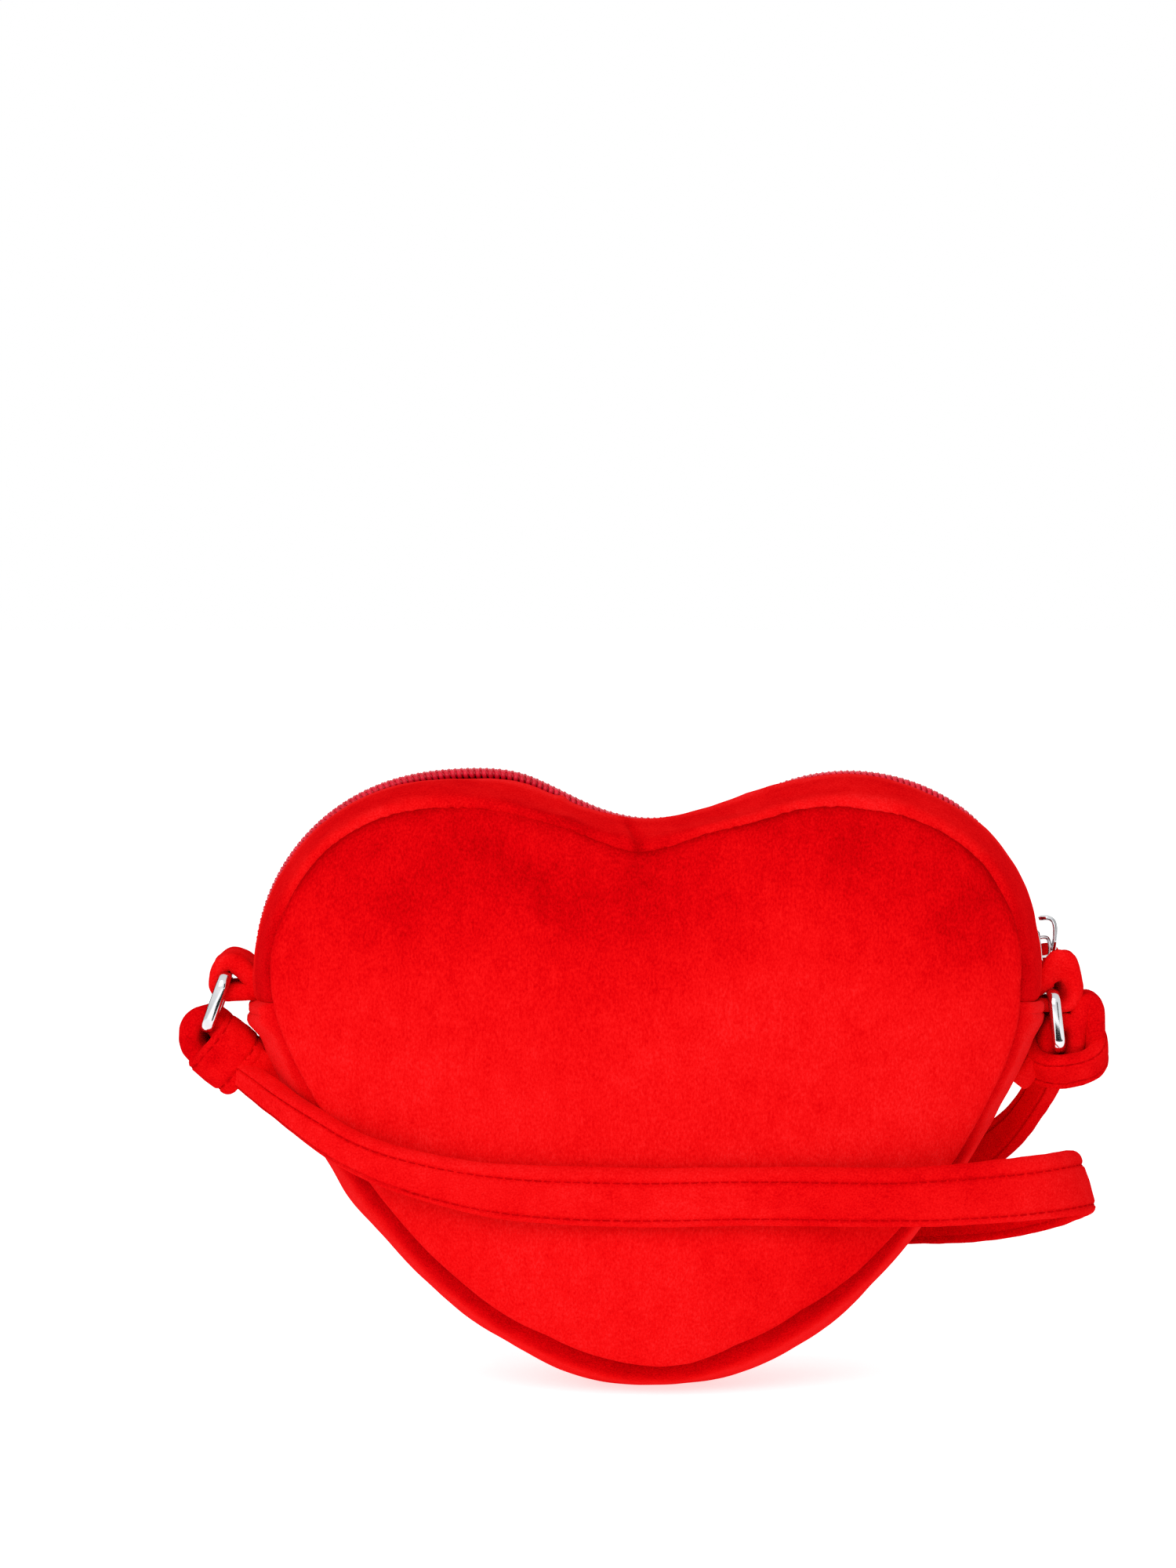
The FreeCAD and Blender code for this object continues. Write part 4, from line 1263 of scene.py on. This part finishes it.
def at_slider(points):
    """Points from height, depth and length along the zip, at the parked slider."""
    turn = math.radians(SLIDER_REST)
    height, y, along = np.moveaxis(np.asarray(points, float), -1, 0)
    out = LOBE_RADIUS + height
    x = LOBE_OFFSET + out * math.cos(turn) - along * math.sin(turn)
    z = LOBE_HEIGHT + out * math.sin(turn) + along * math.cos(turn)
    return np.stack([x, y, z], axis=-1)


def slider_plate(high):
    """A plate of the slider, wider towards the open zip."""
    low = high - SLIDER_PLATE
    y, along = bar_section(40, SLIDER_HALF, SLIDER_LENGTH / 2, 0.5, 0.6).T
    y = y * (0.9 - 0.1 * bar_section(40, 1, 1)[:, 1])
    rings = []
    for height, scale in ((low, 0.92), (low + SLIDER_EDGE, 1.0), (high - SLIDER_EDGE, 1.0), (high, 0.92)):
        rings.append(np.stack([np.full(len(y), height), y * scale, along * scale], axis=1))
    return loft(at_slider(rings))


def new_slider():
    """Two plates on a post, flanges round the coils and a bail for the pull."""
    deck = SLIDER_DECK
    corners = ((-0.7, -3.4), (0.7, -3.4), (0.4, -1.6), (-0.4, -1.6))
    post = [[(height, *corner) for corner in corners] for height in (SLIDER_FLOOR, deck - SLIDER_PLATE)]
    parts = [slider_plate(deck), slider_plate(SLIDER_FLOOR), loft(at_slider(post))]
    for side in (-1, 1):
        inner = side * (SLIDER_HALF - 1.1)
        outer = side * (SLIDER_HALF - 0.4)
        corners = ((deck - 0.9, inner), (deck - 0.9, outer), (deck - 2, outer), (deck - 2, inner))
        flange = [[(*corner, along) for corner in corners] for along in (-2.8, 2.8)]
        parts.append(loft(at_slider(flange)))
    arch = spline_line([
        (deck - 0.4, 0, -2.1), (deck + 0.8, 0, -2.3), (BAIL_TOP, 0, -1.9),
        (BAIL_TOP, 0, 1.9), (deck + 0.8, 0, 2.3), (deck - 0.4, 0, 2.1),
    ])
    parts.append(loft(sweep(at_slider(arch), ACROSS, bar_section(16, 0.75, 0.42))))
    return new_metal("zip_slider_metal", *joined(parts))


left_ring = new_ring("left_ring_metal", (-91.6, 89.2), 20.0)
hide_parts("left_ring")
right_ring = new_ring("right_ring_metal", (87.2, 85.4), -6.7)
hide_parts("right_ring")
zip_pull = new_pull()
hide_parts("zip_pull")
zip_slider = new_slider()
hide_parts("zip_slider")


# What each piece moves with

for piece in (front_panel, front_lining, front_strip, front_facing, front_tape, front_coil):
    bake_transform(piece)
for piece in (
    back_panel, back_lining_sheet, bottom_gusset, gusset_lining, back_strip, back_facing, back_tape,
    back_coil, left_tab, right_tab, lap_stitches,
):
    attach(piece, "bag")
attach(zip_pull, "pull")
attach(zip_slider, "slider")
for piece in left_knot + [left_ring]:
    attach(piece, "left_ring_and_knot")
for piece in right_knot + [right_ring]:
    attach(piece, "right_ring_and_knot")
for piece in (strap_front, front_stitches):
    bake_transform(piece)
for piece in (strap_back, back_stitches):
    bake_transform(piece)


# Floor, light and camera


def seen_node(tree):
    """1 for what the camera or a mirror sees, 0 for what lights the purse."""
    path = add_node(tree, "LightPath")
    seen = math_node("ADD", path.outputs["Is Camera Ray"], path.outputs["Is Glossy Ray"])
    return math_node("ADD", seen, path.outputs["Is Transmission Ray"], clamp=True)


def new_plane(name, corners, material):
    """A flat piece of the studio."""
    mesh = bpy.data.meshes.new(name)
    mesh.from_pydata(corners, [], [(0, 1, 2, 3)])
    mesh.materials.append(material)
    plane = placed(name, mesh)
    return plane


def level_corners(left, right, front, back, z):
    """Corners of a level rectangle."""
    return [(left, front, z), (right, front, z), (right, back, z), (left, back, z)]


def new_dark_card(name, corners):
    """Dark part of the room, which only the metal mirrors."""
    material, _, shader = new_material(name + "_black")
    fill(shader, {"Base Color": (0.01, 0.01, 0.01, 1), "Specular IOR Level": 0.0})
    card = new_plane(name, corners, material)
    card.visible_camera = False
    card.visible_diffuse = False
    card.visible_shadow = False
    card.visible_transmission = False


# White floor that keeps a soft shadow
material, tree, shader = new_material("floor_white")
tree.nodes.remove(shader)
level = scaled_node(seen_node(tree), FLOOR_BOUNCE, FLOOR_GLOW)
cloth = add_node(tree, "BsdfDiffuse", {"Color": (0.92, 0.92, 0.92, 1)})
glow = add_node(tree, "Emission", {"Color": (1, 1, 1, 1), "Strength": level})
both = add_node(tree, "AddShader", {0: cloth.outputs[0], 1: glow.outputs[0]})
fill(tree.nodes["Material Output"], {"Surface": both.outputs[0]})
new_plane("floor", level_corners(-FLOOR_HALF, FLOOR_HALF, -FLOOR_HALF, FLOOR_HALF, FLOOR_LEVEL), material)

# Dark parts of the room
for name, left, right in (
    ("front_card", (0.55, -1.5), (0.9, -1.3)),
    ("left_card", (-1.3, 0.6), (-0.6, 1.2)),
    ("right_card", (0.6, 1.2), (1.3, 0.6)),
):
    new_dark_card(name, [(*left, -0.1), (*right, -0.1), (*right, 0.9), (*left, 0.9)])
new_dark_card("floor_card", level_corners(-0.05, 0.3, -0.6, -0.15, 0.001))

# White surroundings; what the camera sees of them is plain white
world = bpy.data.worlds.new("studio")
world.use_nodes = True
room_light = scaled_node(seen_node(world.node_tree), ROOM_GLOW, 1.0)
background = world.node_tree.nodes["Background"]
fill(background, {"Color": (1, 1, 1, 1), "Strength": room_light})
bpy.context.scene.world = world

lamp_data = bpy.data.lights.new("key_light", "AREA")
lamp_data.size = LAMP_SIZE
lamp_data.energy = LAMP_POWER
lamp = placed("key_light", lamp_data)
lamp.location = LAMP_PLACE
lamp.rotation_euler = (Vector(LAMP_AIM) - Vector(LAMP_PLACE)).to_track_quat("-Z", "Y").to_euler()

camera_data = bpy.data.cameras.new("camera")
camera_data.lens = LENS
camera = placed("camera", camera_data)
camera.location = CAMERA_PLACE
camera.rotation_euler = (math.radians(90 - CAMERA_DIP), 0, 0)
bpy.context.scene.camera = camera
bpy.context.scene.view_settings.view_transform = "Standard"
